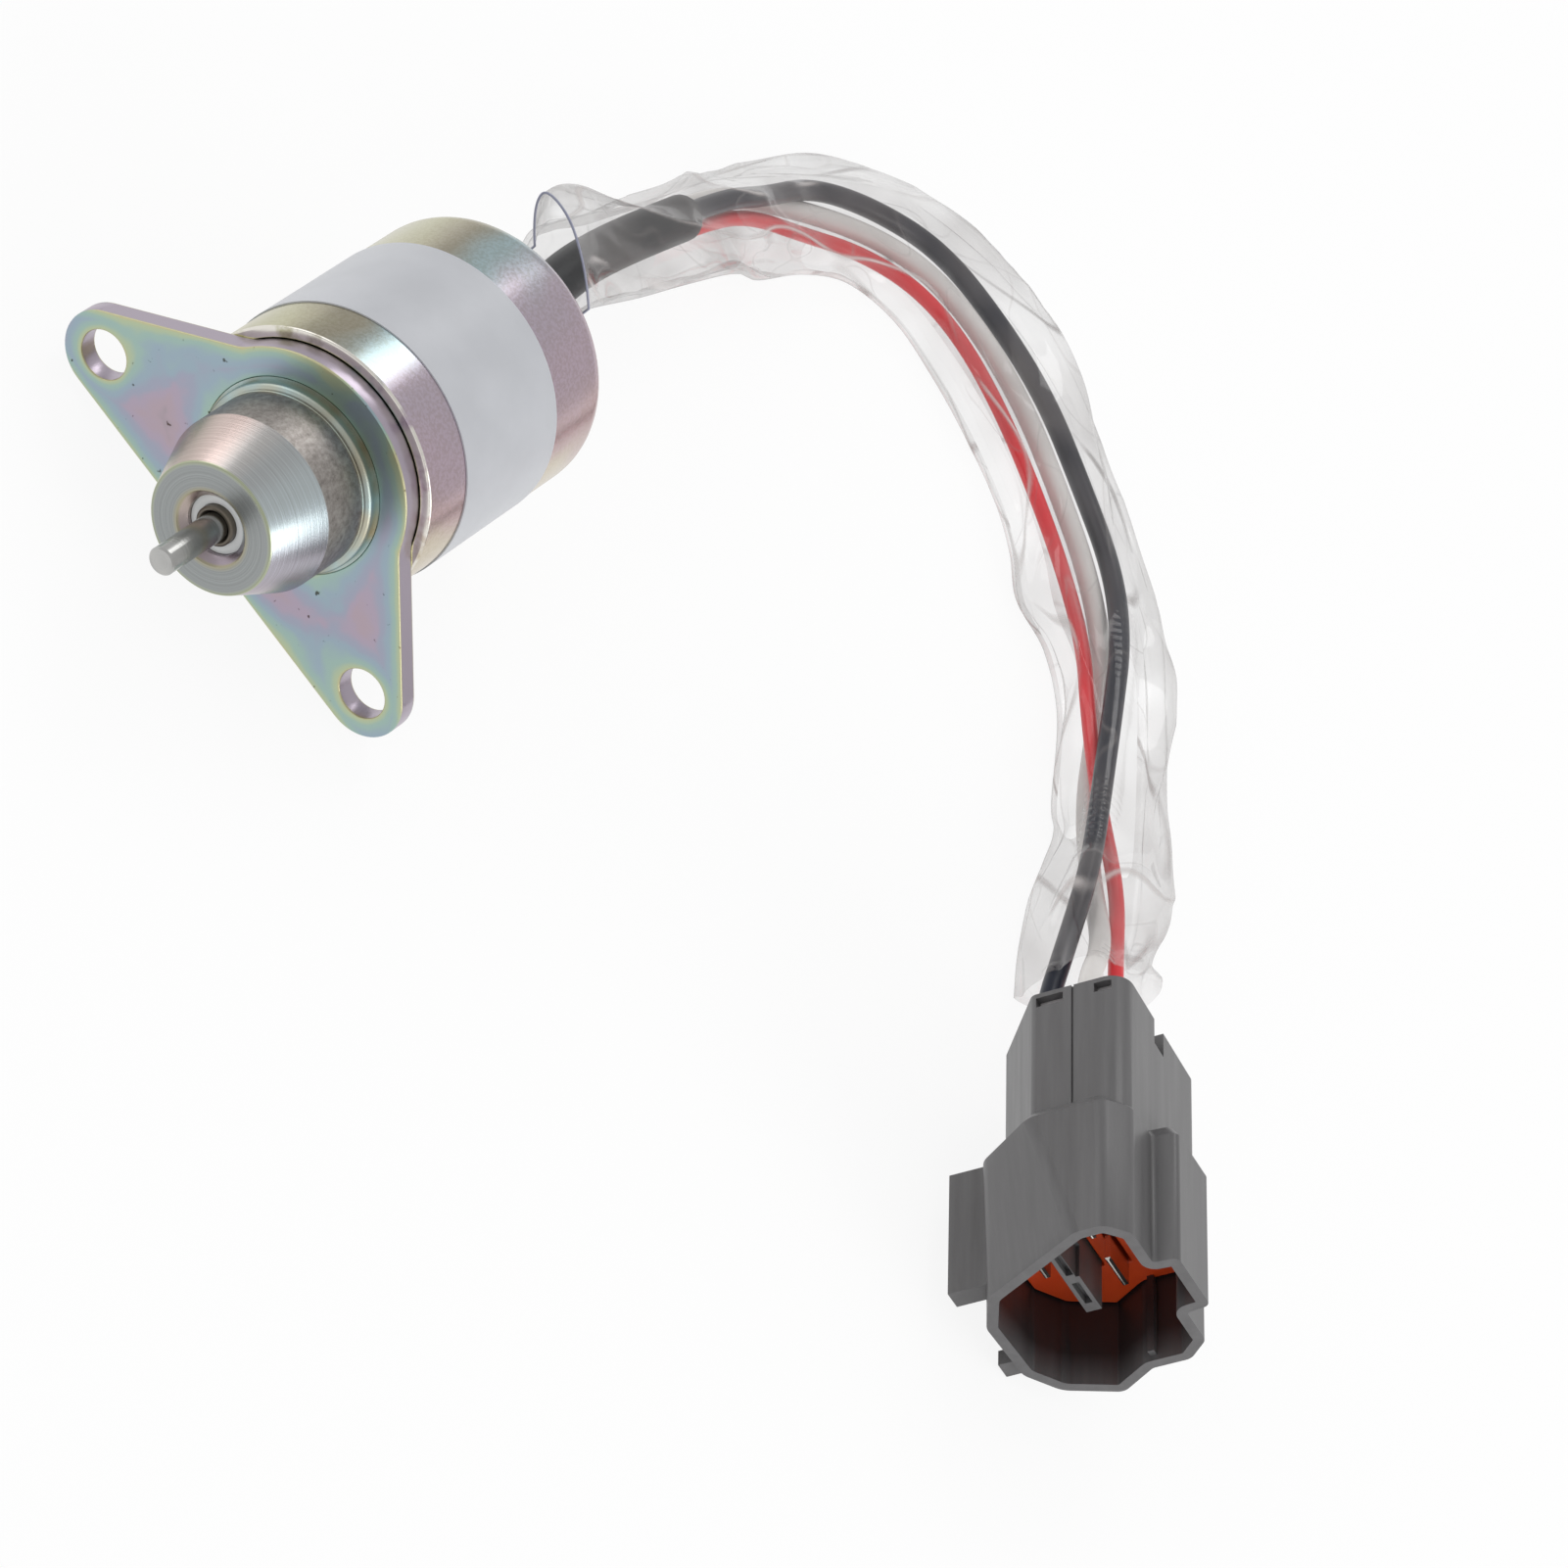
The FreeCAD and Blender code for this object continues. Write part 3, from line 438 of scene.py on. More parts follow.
# clear sleeve, in millimetres. A station is one edge (x, y), the other edge (x, y), the heights of the edges,
# of the underside and of the top, and how far the top leans to the first edge, in half widths
sleeveShape = {
    "stations": [
        (-63.5, -7.3, -64.5, 3.6, 1.9, -4.4, 9.6, 1.43),
        (-74.0, -11.0, -73.0, 3.8, -1.6, -6.2, 6.4, 0.6),
        (-86.0, -9.4, -86.0, 6.4, -3.6, -8.0, 3.4, 0.0),
        (-100.0, -7.0, -99.5, 8.4, -6.4, -10.6, 0.6, 0.0),
        (-114.0, -5.0, -112.0, 10.6, -9.0, -13.2, -2.6, 0.0),
        (-128.0, -4.0, -120.5, 13.0, -12.4, -17.6, -6.0, 0.0),
        (-143.0, 1.5, -130.5, 15.6, -13.8, -18.9, -8.4, 0.0),
        (-154.0, 9.4, -137.5, 20.0, -14.4, -19.0, -9.2, 0.0),
        (-162.5, 21.5, -140.5, 28.0, -14.6, -19.0, -9.6, 0.0),
        (-165.0, 36.6, -139.6, 36.6, -14.6, -19.0, -9.6, 0.0),
        (-163.5, 50.5, -137.4, 45.8, -14.6, -19.0, -9.6, 0.0),
        (-156.5, 64.6, -134.0, 55.8, -14.6, -19.0, -9.6, 0.0),
        (-152.0, 73.6, -129.6, 62.8, -14.5, -19.0, -9.5, 0.0),
        (-146.4, 82.6, -124.2, 68.6, -14.4, -19.0, -9.2, 0.0),
        (-138.0, 91.6, -122.6, 76.6, -14.4, -19.0, -8.8, 0.0),
        (-125.5, 101.0, -116.4, 84.8, -14.0, -19.0, -8.2, 0.0),
        (-113.5, 109.6, -103.9, 93.4, -13.6, -19.0, -7.8, 0.0),
        (-107.5, 113.4, -100.2, 96.8, -13.2, -18.9, -7.4, 0.0),
        (-101.5, 117.0, -94.6, 98.8, -12.9, -18.8, -6.6, 0.0),
        (-94.0, 119.6, -86.2, 101.6, -11.8, -18.5, -5.0, 0.0),
        (-88.0, 121.4, -77.4, 106.0, -10.6, -18.2, -3.2, 0.0),
        (-82.0, 124.6, -70.2, 110.2, -9.5, -17.5, 0.4, 0.0),
    ],
    "section": [  # places across, and up: -1 is the underside and 1 the top
        (-1.0, 0.0), (-0.92, -0.72), (-0.78, -1.0), (0.0, -1.0), (0.78, -1.0), (0.92, -0.72), (1.0, 0.0),
        (0.9, 0.5), (0.62, 0.85), (0.25, 1.0), (-0.25, 1.0), (-0.62, 0.85), (-0.9, 0.5),
    ],
    "stepsPerSide": 9,
    "alongSteps": 24,
    "girthRadiusMm": 10.0,
    "twistPerMetre": 22.0,
    "foldDepthMm": 2.6,
    "foldLengthMm": 36.0,
    "foldWidthMm": 14.0,
    "wrinkleDepthMm": 0.45,
    "wrinkleLengthMm": 13.0,
    "wrinkleWidthMm": 9.0,
    "openMm": 14.0,
    "clearOfWiresMm": 0.35,
    "freeSlopes": (-0.75, 0.1),
    "ridgeReach": 0.22,
    "seed": 4.0,
    "rimMm": 0.35,
}
filmLook = {
    "tint": "#968D8A",
    "milk": (0.04, 0.22),
    "patchMm": 16.0,
    "patches": (0.38, 0.66),
    "onFolds": 0.55,
    "foldBlend": 0.3,
    "foldPower": 2.4,
    "creaseGapMm": 14.0,
    "creasesCome": (0.42, 0.58),
    "creaseWidth": 0.02,
    "creaseTint": "#E2DBD9",
    "foldMilk": 0.6,
    "wrinkleMilk": 0.16,
    "roughness": 0.3,
    "shine": 0.07,
    "glint": 0.04,
    "edgeGlint": 0.7,
    "edgeBlend": 0.5,
    "edgePower": 4.0,
}


def makeClearFilm():
    # thin clear polythene: a faint grey veil, milky in patches, where it turns away and along its
    # creases, and the sharp glints of a glossy film
    look = filmLook
    material, tree, shader = newMaterial("clearPolythene")
    coord = addNode(tree, "TexCoord")
    edge = addNode(tree, "LayerWeight", inputs={"Blend": look["foldBlend"]})
    turned = addNode(tree, "Math", {"operation": "POWER"}, {0: (edge, "Facing"), 1: look["foldPower"]})
    milk = addNode(tree, "TexNoise", inputs={"Vector": (coord, "Object"), "Scale": 1000 / look["patchMm"]})
    patch = addNode(tree, "MapRange", inputs={
        "Value": milk, fromRange: look["patches"], toRange: look["milk"]})
    haze = addNode(tree, "Math", {"operation": "MULTIPLY_ADD"}, {0: turned, 1: look["onFolds"], 2: patch})
    place = addNode(tree, "Attribute", {"attribute_name": "filmPlace"})
    come = addNode(tree, "TexNoise", inputs={
        "Vector": (coord, "Object"), "Scale": 1000 / look["creaseGapMm"], "Detail": 1.0})
    comes = addNode(tree, "MapRange", inputs={"Value": come, fromRange: look["creasesCome"]})
    creased = None
    for kind in ("fold", "wrinkle"):
        length = 1000 / sleeveShape[kind + "LengthMm"]
        width = 1000 / sleeveShape[kind + "WidthMm"]
        scaled = addNode(tree, "VectorMath", {"operation": "MULTIPLY"}, {
            0: (place, "Vector"), 1: (length, width, width)})
        field = addNode(tree, "TexNoise", {"noise_dimensions": "4D"}, {
            "Vector": scaled, "W": sleeveShape["seed"], "Scale": 1.0, "Detail": 0.0})
        centred = addNode(tree, "Math", {"operation": "SUBTRACT"}, {0: field, 1: 0.5})
        ridge = addNode(tree, "Math", {"operation": "ABSOLUTE"}, {0: centred})
        line = addNode(tree, "MapRange", {"interpolation_type": "SMOOTHSTEP"}, {
            "Value": ridge, "From Max": look["creaseWidth"], toRange: (look[kind + "Milk"], 0.0)})
        kept = addNode(tree, "Math", {"operation": "MULTIPLY"}, {0: line, 1: comes})
        creased = kept if creased is None else addNode(tree, "Math", {"operation": "MAXIMUM"}, {
            0: creased, 1: kept})
    total = addNode(tree, "Math", {"operation": "ADD", "use_clamp": True}, {0: haze, 1: creased})
    tone = addNode(tree, "Mix", colours, {
        "Factor": creased, colourA: linearColour(look["tint"]),
        colourB: linearColour(look["creaseTint"])})
    setInputs(tree, shader, {
        "Base Color": (tone, mixedColour), "Roughness": look["roughness"], "Alpha": total})
    glint = addNode(tree, "BsdfGlossy", inputs={"Roughness": look["shine"]})
    plain = addNode(tree, "LayerWeight", inputs={"Blend": look["edgeBlend"]})
    grazing = addNode(tree, "Math", {"operation": "POWER"}, {0: (plain, "Facing"), 1: look["edgePower"]})
    share = addNode(tree, "Math", {"operation": "MULTIPLY_ADD"}, {
        0: grazing, 1: look["edgeGlint"], 2: look["glint"]})
    both = addNode(tree, "MixShader", inputs={0: share, 1: shader, 2: glint})
    setInputs(tree, tree.nodes["surface"], {"Surface": both})
    return material


connectorAxes = {  # millimetres: the middle of the mouth, the direction that it faces, and the cavity's walls
    "mouth": (-25.6, 147.5, 0.1),
    "out": (0.8151, 0.575, 0.0705),
    "cavityDepth": 18.6,
    "lip": 0.5,
    "reach": 25.0,
}
nylonLook = {
    "tones": [(0.32, "#565556"), (0.5, "#5C5B5C"), (0.7, "#646364")],
    "streaksPerMm": 0.55,
    "streakShortening": 0.06,
    # painted shade inside the mouth: its dark tint, and the depths in millimetres over which it comes in
    "cavityShadeTint": "#1D191A",
    "cavityShadeMm": (-5.0, -0.6),
    "streaks": (0.3, 0.7),
    "roughness": (0.3, 0.45),
    "specular": 0.6,
    "grainMm": 0.35,
    "grainHeightMm": 0.006,
}


def makeNylon(name, shadeInside):
    # glass-filled grey nylon: flow streaks along the mould's draw and a soft sheen, and with some shade,
    # painted shade that darkens the mouth's walls behind the lip
    look = nylonLook
    material, tree, shader = newMaterial(name)
    coord = addNode(tree, "TexCoord")
    inMm = placeInMm(tree, coord)
    fromMouth = addNode(tree, "VectorMath", {"operation": "SUBTRACT"}, {0: inMm, 1: connectorAxes["mouth"]})
    depth = addNode(tree, "VectorMath", {"operation": "DOT_PRODUCT"}, {
        0: fromMouth, 1: connectorAxes["out"]})
    alongOut = addNode(tree, "VectorMath", {"operation": "SCALE"}, {
        0: connectorAxes["out"], "Scale": (depth, "Value")})
    across = addNode(tree, "VectorMath", {"operation": "SUBTRACT"}, {0: fromMouth, 1: alongOut})
    shortened = addNode(tree, "VectorMath", {"operation": "SCALE"}, {
        0: alongOut, "Scale": look["streakShortening"]})
    drawn = addNode(tree, "VectorMath", {"operation": "ADD"}, {0: across, 1: shortened})
    streaks = addNode(tree, "TexNoise", inputs={
        "Vector": drawn, "Scale": look["streaksPerMm"], "Detail": 5.0, "Roughness": 0.6})
    tint = addNode(tree, "ValToRGB", inputs={"Fac": streaks})
    setRamp(tint, look["tones"])
    # painted shade: deeper inside the mouth the nylon turns to the dark tint
    shade = addNode(tree, "MapRange", inputs={
        "Value": (depth, "Value"), fromRange: look["cavityShadeMm"], toRange: (shadeInside, 0.0)})
    dark = addNode(tree, "Mix", colours, {
        "Factor": shade, colourA: tint, colourB: linearColour(look["cavityShadeTint"])})
    rough = addNode(tree, "MapRange", inputs={
        "Value": streaks, fromRange: look["streaks"], toRange: look["roughness"]})
    setInputs(tree, shader, {
        "Base Color": (dark, mixedColour), "Roughness": rough, "Specular IOR Level": look["specular"]})
    fineBump(tree, shader, coord, look["grainMm"], look["grainHeightMm"])
    return material


# slot: material, tones, roughness, and the lathe rings' spacing and depth in millimetres
turnedMetals = {
    "machined_steel": (
        "turnedSteel", [(0.0, "#8F8C88"), (0.5, "#B4B4B2"), (1.0, "#CFCBC8")], 0.24, 0.35, 0.012),
    "bushing_bronze": ("bushingBronze", [(0.0, "#5A5550"), (1.0, "#7C7468")], 0.3, 0.3, 0.01),
    "spring_steel": ("springSteel", [(0.0, "#7D7E80"), (1.0, "#A5A6A8")], 0.3, 0.4, 0.004),
    "tube_brass": ("tubeBrass", [(0.0, "#A58B52"), (1.0, "#C4A869")], 0.3, 0.4, 0.004),
    "coil_wire": ("enamelledCopper", [(0.0, "#8A4A25"), (1.0, "#B3662F")], 0.35, 0.5, 0.05),
    "tinned_brass": ("tinnedBrass", [(0.0, "#C2BFBA"), (1.0, "#E6E3DD")], 0.25, 0.4, 0.004),
}
# slot: material, colour, darker colour, roughness, the grain's size and height in millimetres, specular
plastics = {
    "plated_washer": ("platedWasher", "#EDEFEF", "#DCDFDE", 0.3, 0.4, 0.004),
    "bobbin_nylon": ("bobbinNylon", "#2B2A29", "#232221", 0.45, 0.5, 0.006),
    "black_rubber": ("grommetRubber", "#2A2A2B", "#222223", 0.6, 0.4, 0.01),
    "shrink_tube": ("heatShrink", "#2E2F31", "#252628", 0.42, 0.8, 0.02),
    "label_film": ("satinLabel", "#C6C8CD", "#C0C2C7", 0.36, 1.2, 0.003),
    "black_insulation": ("blackInsulation", "#161C2C", "#131826", 0.32, 0.6, 0.006, 0.3),
    "white_insulation": ("whiteInsulation", "#E6E3E0", "#DDD9D6", 0.4, 0.6, 0.006),
    "red_insulation": ("redInsulation", "#EA2430", "#DC1F2B", 0.36, 0.6, 0.006),
    "white_nylon": ("paleGreyNylon", "#BDB9BA", "#B3AFB0", 0.45, 0.4, 0.006),
    "orange_silicone": ("orangeSilicone", "#EE5522", "#DE491B", 0.35, 0.6, 0.006),
}
finishes = {
    "zinc_plate": makeCanZinc(),
    "clear_film": makeClearFilm(),
    "grey_nylon": makeNylon("greyNylon", 0.0),
}
for slotName, row in turnedMetals.items():
    finishes[slotName] = makeTurnedSteel(*row)
for slotName, row in plastics.items():
    finishes[slotName] = makePlastic(*row)
flangeZinc = makeFlangeZinc()
noseSteel = makeNoseSteel()
# the same nylon with painted shade on the walls deep in the mouth
shadedCavityNylon = makeNylon("shadedCavityNylon", 0.86)
cutFilmEdge = makePlastic("cutFilmEdge", "#9DA0B4", "#8D90A6", 0.25, 1.0, 0.002)
print("materials ready")


def giveFinish(thing, material):
    thing.data.materials.clear()
    thing.data.materials.append(material)


for record in frame["record"]["subparts"]:
    node = frame["nodes"][record["node"]]
    giveFinish(node, finishes[record["material_slot"]])


def meshPiece(name, points, faces, material, smooth=True):
    mesh = bpy.data.meshes.new(name)
    mesh.from_pydata([tuple(p) for p in points], [], faces)
    mesh.update()
    for face in mesh.polygons:
        face.use_smooth = smooth
    mesh.materials.append(material)
    made = bpy.data.objects.new(name, mesh)
    scene.collection.objects.link(made)
    return made


def bakedMesh(piece):
    # the piece as it looks with its modifiers or its curve's thickness, as a mesh of its own
    bpy.context.view_layer.update()
    return bpy.data.meshes.new_from_object(piece.evaluated_get(bpy.context.evaluated_depsgraph_get()))


turning = {"around": 160, "creaseDegrees": 35, "fewestSteps": 3, "mostSteps": 10, "stepsPerMm": 6}


def roundedProfile(corners):
    # corners: (x, r, radius) of a closed half section; gives its points with each corner as an arc
    points = []
    n = len(corners)
    for i, (x, r, radius) in enumerate(corners):
        here = Vector((x, r))
        if not radius:
            points.append(here)
            continue
        before = (Vector(corners[i - 1][:2]) - here).normalized()
        after = (Vector(corners[(i + 1) % n][:2]) - here).normalized()
        half = before.angle(after) / 2
        cut = radius / math.tan(half)
        centre = here + (before + after).normalized() * radius / math.sin(half)
        first = here + before * cut - centre
        last = here + after * cut - centre
        sweep = first.angle_signed(last)
        steps = int(abs(sweep) * radius * turning["stepsPerMm"]) + turning["fewestSteps"]
        steps = min(turning["mostSteps"], steps)
        for step in range(steps + 1):
            t = sweep * step / steps
            c, s = math.cos(t), math.sin(t)
            points.append(centre + Vector((first.x * c + first.y * s, first.y * c - first.x * s)))
    return points


def turnedPiece(name, corners, material):
    # a closed half section turned about the X axis, in millimetres
    profile = roundedProfile(corners)
    around = turning["around"]
    points = []
    for x, r in profile:
        for step in range(around):
            t = 2 * math.pi * step / around
            points.append(Vector((x, r * math.cos(t), r * math.sin(t))) * mm)
    faces = []
    n = len(profile)
    for i in range(n):
        for step in range(around):
            j = (i + 1) % n
            k = (step + 1) % around
            faces.append((i * around + step, i * around + k, j * around + k, j * around + step))
    piece = meshPiece(name, points, faces, material)
    sharpen(piece, turning["creaseDegrees"])
    return piece


def sharpen(piece, degrees):
    # normals outward and smooth faces, with the edges that turn more than this kept crisp
    edit = bmesh.new()
    edit.from_mesh(piece.data)
    bmesh.ops.recalc_face_normals(edit, faces=edit.faces)
    for edge in edit.edges:
        edge.smooth = len(edge.link_faces) == 2 and edge.calc_face_angle(0.0) < math.radians(degrees)
    edit.to_mesh(piece.data)
    edit.free()


softening = {"mergeM": 2e-6, "flatDegrees": 0.6, "edgeDegrees": 30, "segments": 3}


def softened(nodeName, name, widthMm, material):
    # a detailed stand-in for a CAD node: the same form, with its moulded or sheared edges rounded
    mesh = frame["nodes"][nodeName].data.copy()
    mesh.name = name
    edit = bmesh.new()
    edit.from_mesh(mesh)
    bmesh.ops.remove_doubles(edit, verts=edit.verts, dist=softening["mergeM"])
    flat = math.radians(softening["flatDegrees"])
    bmesh.ops.dissolve_limit(edit, angle_limit=flat, verts=edit.verts, edges=edit.edges)
    edit.to_mesh(mesh)
    edit.free()
    piece = bpy.data.objects.new(name, mesh)
    scene.collection.objects.link(piece)
    rounding = piece.modifiers.new("rounding", "BEVEL")
    rounding.width = widthMm * mm
    rounding.segments = softening["segments"]
    rounding.limit_method = "ANGLE"
    rounding.angle_limit = math.radians(softening["edgeDegrees"])
    rounding.harden_normals = True
    piece.data = bakedMesh(piece)
    piece.modifiers.clear()
    bpy.data.meshes.remove(mesh)
    giveFinish(piece, material)
    return piece


def shadeCavity(piece):
    # the faces that look inwards from the mouth's walls take the nylon with painted shade
    piece.data.materials.append(shadedCavityNylon)
    axes = connectorAxes
    mouth = Vector(axes["mouth"]) * mm
    out = Vector(axes["out"])
    deepest = -(axes["cavityDepth"] + 1) * mm
    for face in piece.data.polygons:
        place = face.center - mouth
        depth = place.dot(out)
        inward = (place - out * depth).dot(face.normal) < 0
        if inward and deepest < depth < -axes["lip"] * mm and place.length < axes["reach"] * mm:
            face.material_index = 1


def stands(piece, nodeName):
    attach(piece, "body")
    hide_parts(nodeName)


# half sections in millimetres: (x, radius, edge rounding) from corner to corner
canSection = [
    (-45.5, 5.0, 0.3), (-45.5, 19.05, 3.8), (-3.0, 19.05, 0.35), (-3.0, 17.45, 0.15),
    (-43.9, 17.45, 2.2), (-43.9, 5.0, 0.2),
]
noseSection = [
    (-3.0, 6.3, 0), (-3.0, 13.4, 0), (0.0, 13.4, 0), (0.0, 13.0, 0), (1.7, 13.0, 0.7), (1.7, 12.1, 0.12),
    (9.4, 12.1, 0.15), (17.7, 9.0, 0.3), (17.7, 5.2, 0.12), (16.6, 4.1, 0.1), (14.9, 4.1, 0),
    (14.9, 2.8, 0), (12.8, 2.8, 0), (12.8, 2.6, 0), (5.95, 2.6, 0), (5.95, 6.3, 0),
]
edgeRoundingMm = {"flange": 0.3, "housing": 0.5, "divider": 0.2, "seal": 0.45}

canPiece = turnedPiece("drawnCan", canSection, finishes["zinc_plate"])
stands(canPiece, "can")
nosePiece = turnedPiece("turnedNose", noseSection, noseSteel)
stands(nosePiece, "nose")
flangePiece = softened("mounting_flange", "blankedFlange", edgeRoundingMm["flange"], flangeZinc)
stands(flangePiece, "mounting_flange")
housingPiece = softened(
    "connector_housing", "mouldedHousing", edgeRoundingMm["housing"], finishes["grey_nylon"])
shadeCavity(housingPiece)
stands(housingPiece, "connector_housing")
dividerPiece = softened(
    "terminal_divider", "socketDivider", edgeRoundingMm["divider"], finishes["grey_nylon"])
stands(dividerPiece, "terminal_divider")
sealPiece = softened("front_seal", "floorSeal", edgeRoundingMm["seal"], finishes["orange_silicone"])
stands(sealPiece, "front_seal")
print("solid pieces finished")

# wires and heat-shrunk tube, on the same route points as the CAD, in millimetres
shrinkRun = {
    "name": "heatShrinkTube",
    "node": "heat_shrink",
    "slot": "shrink_tube",
    "farEnd": "bare",
    "carries": [],
    "diameterMm": 6.6,
    "lengthMm": 59.7,
    "points": [
        (-43.0, 0.0, 0.0), (-54.0, 0.0, 0.0), (-68.0, -2.4, -0.9), (-85.0, -1.9, -3.2), (-102.0, -0.3, -6.3),
    ],
}
blackRun = {
    "name": "blackWire",
    "node": "black_wire",
    "slot": "black_insulation",
    "farEnd": "connector",
    "carries": [
        housingPiece, dividerPiece, sealPiece, "terminal_retainer", "black_terminal", "black_wire_seal"],
    "diameterMm": 3.0,
    "lengthMm": 226.0,
    "points": [
        (-102.3, -0.1, -4.6), (-113.1, 0.9, -6.6), (-126.0, 3.2, -11.4), (-140.4, 5.4, -15.0),
        (-151.6, 12.6, -17.0), (-158.4, 23.2, -17.0), (-159.0, 36.2, -17.0), (-157.0, 49.4, -17.0),
        (-151.2, 62.4, -17.0), (-143.2, 74.4, -15.4), (-131.5, 82.8, -12.6), (-119.0, 89.6, -11.6),
        (-106.2, 97.0, -11.4), (-93.4, 104.0, -10.8), (-80.0, 109.2, -10.2), (-62.5, 115.7, -9.4),
        (-50.6, 124.0, -8.4),
    ],
}
whiteRun = {
    "name": "whiteWire",
    "node": "white_wire",
    "slot": "white_insulation",
    "farEnd": "connector",
    "carries": ["white_terminal", "white_wire_seal"],
    "diameterMm": 3.0,
    "lengthMm": 221.3,
    "points": [
        (-102.0, -1.8, -7.3), (-112.7, -0.8, -9.2), (-126.0, 1.0, -15.2), (-137.8, 7.4, -16.7),
        (-147.4, 15.6, -17.0), (-153.2, 24.8, -17.0), (-154.2, 36.0, -17.0), (-151.8, 48.4, -17.0),
        (-146.4, 60.6, -17.0), (-140.0, 73.0, -17.0), (-130.8, 84.0, -17.0), (-119.5, 90.9, -17.0),
        (-106.9, 98.3, -17.0), (-94.8, 107.4, -14.8), (-80.8, 113.2, -7.4), (-62.6, 114.6, 0.9),
        (-50.8, 122.9, 1.9),
    ],
}
redRun = {
    "name": "redWire",
    "node": "red_wire",
    "slot": "red_insulation",
    "farEnd": "connector",
    "carries": ["red_terminal", "red_wire_seal"],
    "diameterMm": 2.2,
    "lengthMm": 207.7,
    "points": [
        (-101.7, 1.4, -7.3), (-112.4, 2.4, -9.3), (-124.8, 4.8, -13.9), (-134.4, 10.0, -16.8),
        (-143.4, 16.8, -17.4), (-149.0, 25.4, -17.4), (-150.2, 35.0, -17.4), (-147.6, 46.4, -17.4),
        (-142.6, 58.4, -17.4), (-136.6, 70.2, -17.4), (-128.8, 80.6, -16.8), (-117.9, 87.7, -14.5),
        (-107.1, 98.5, -14.2), (-95.8, 109.5, -12.0), (-82.6, 115.8, -8.6), (-67.8, 122.6, -4.1),
        (-56.0, 131.0, -3.0),
    ],
}
cordRuns = (shrinkRun, blackRun, whiteRun, redRun)


def layCord(run):
    # one open curve through the run, thick as the cord
    line = bpy.data.curves.new(run["name"], "CURVE")
    line.dimensions = "3D"
    line.resolution_u = 10
    line.bevel_resolution = 8
    line.use_fill_caps = True
    spline = line.splines.new("NURBS")
    spline.points.add(len(run["points"]) - 1)
    for point, place in zip(spline.points, run["points"]):
        point.co = (place[0] * mm, place[1] * mm, place[2] * mm, 1.0)
    spline.order_u = 3
    spline.use_endpoint_u = True
    line.bevel_depth = run["diameterMm"] / 2 * mm
    cordPiece = bpy.data.objects.new(run["name"], line)
    scene.collection.objects.link(cordPiece)
    line.materials.append(finishes[run["slot"]])
    return cordPiece


cordPieces = [layCord(run) for run in cordRuns]
for piece, run in zip(cordPieces, cordRuns):
    stands(piece, run["node"])
print("cords laid")


def easedValue(rows, place, column):
    # a smooth value between the stations' rows
    n = len(rows)
    i = min(int(place), n - 2)
    t = place - i
    a = rows[max(i - 1, 0)][column]
    b = rows[i][column]
    c = rows[i + 1][column]
    d = rows[min(i + 2, n - 1)][column]
    return b + 0.5 * t * (c - a + t * (2 * a - 5 * b + 4 * c - d + t * (3 * (b - c) + d - a)))


def makeSleeve():
    rows = sleeveShape["stations"]
    section = sleeveShape["section"]
    steps = sleeveShape["stepsPerSide"]
    looped = [section[-1]] + section + section[:2]
    ring = []
    for i in range(1, len(section) + 1):
        for k in range(steps):
            ring.append([easedValue(looped[i - 1:i + 3], 1 + k / steps, axis) for axis in (0, 1)])
    rings = (len(rows) - 1) * sleeveShape["alongSteps"] + 1
    points = []
    for n in range(rings):
        place = n / sleeveShape["alongSteps"]
        x0, y0, x1, y1, edge, under, top, lean = [easedValue(rows, place, column) for column in range(8)]
        middle = Vector(((x0 + x1) / 2, (y0 + y1) / 2, edge))
        half = Vector(((x1 - x0) / 2, (y1 - y0) / 2, 0))
        for across, up in ring:
            lift = up * (top - edge) if up > 0 else up * (edge - under)
            points.append((middle + half * (across - lean * max(up, 0.0)) + Vector((0, 0, lift))) * mm)
    faces = []
    around = len(ring)
    for n in range(rings - 1):
        for step in range(around):
            a = n * around + step
            b = n * around + (step + 1) % around
            faces.append((a, a + around, b + around, b))
    piece = meshPiece("clearSleeve", points, faces, finishes["clear_film"])
    markFilm(piece, around)
    return piece


def wireSkin():
    # the points of the wires' and the heat-shrunk tube's surfaces
    places = []
    for piece in cordPieces:
        mesh = bakedMesh(piece)
        places += [point.co.copy() for point in mesh.vertices]
        bpy.data.meshes.remove(mesh)
    tree = kdtree.KDTree(len(places))
    for i, place in enumerate(places):
        tree.insert(place, i)
    tree.balance()
    return tree


def markFilm(piece, around):
    # on each point, how far along the film it lies, its place on a round girth, and how far it may sink
    # before it would touch a wire, all in metres
    skin = wireSkin()
    points = piece.data.vertices
    slack = piece.data.attributes.new("filmSlack", "FLOAT", "POINT")
    for i, point in enumerate(points):
        slack.data[i].value = max(0.0, skin.find(point.co)[2] - sleeveShape["clearOfWiresMm"] * mm)
    marks = piece.data.attributes.new("filmPlace", "FLOAT_VECTOR", "POINT")
    radius = sleeveShape["girthRadiusMm"] * mm
    along = 0.0
    for i in range(len(points)):
        step = i % around
        if step == 0 and i:
            gaps = [(points[i + k].co - points[i + k - around].co).length for k in range(around)]
            along += sum(gaps) / around
        angle = 2 * math.pi * step / around + along * sleeveShape["twistPerMetre"]
        marks.data[i].vector = (along, radius * math.cos(angle), radius * math.sin(angle))


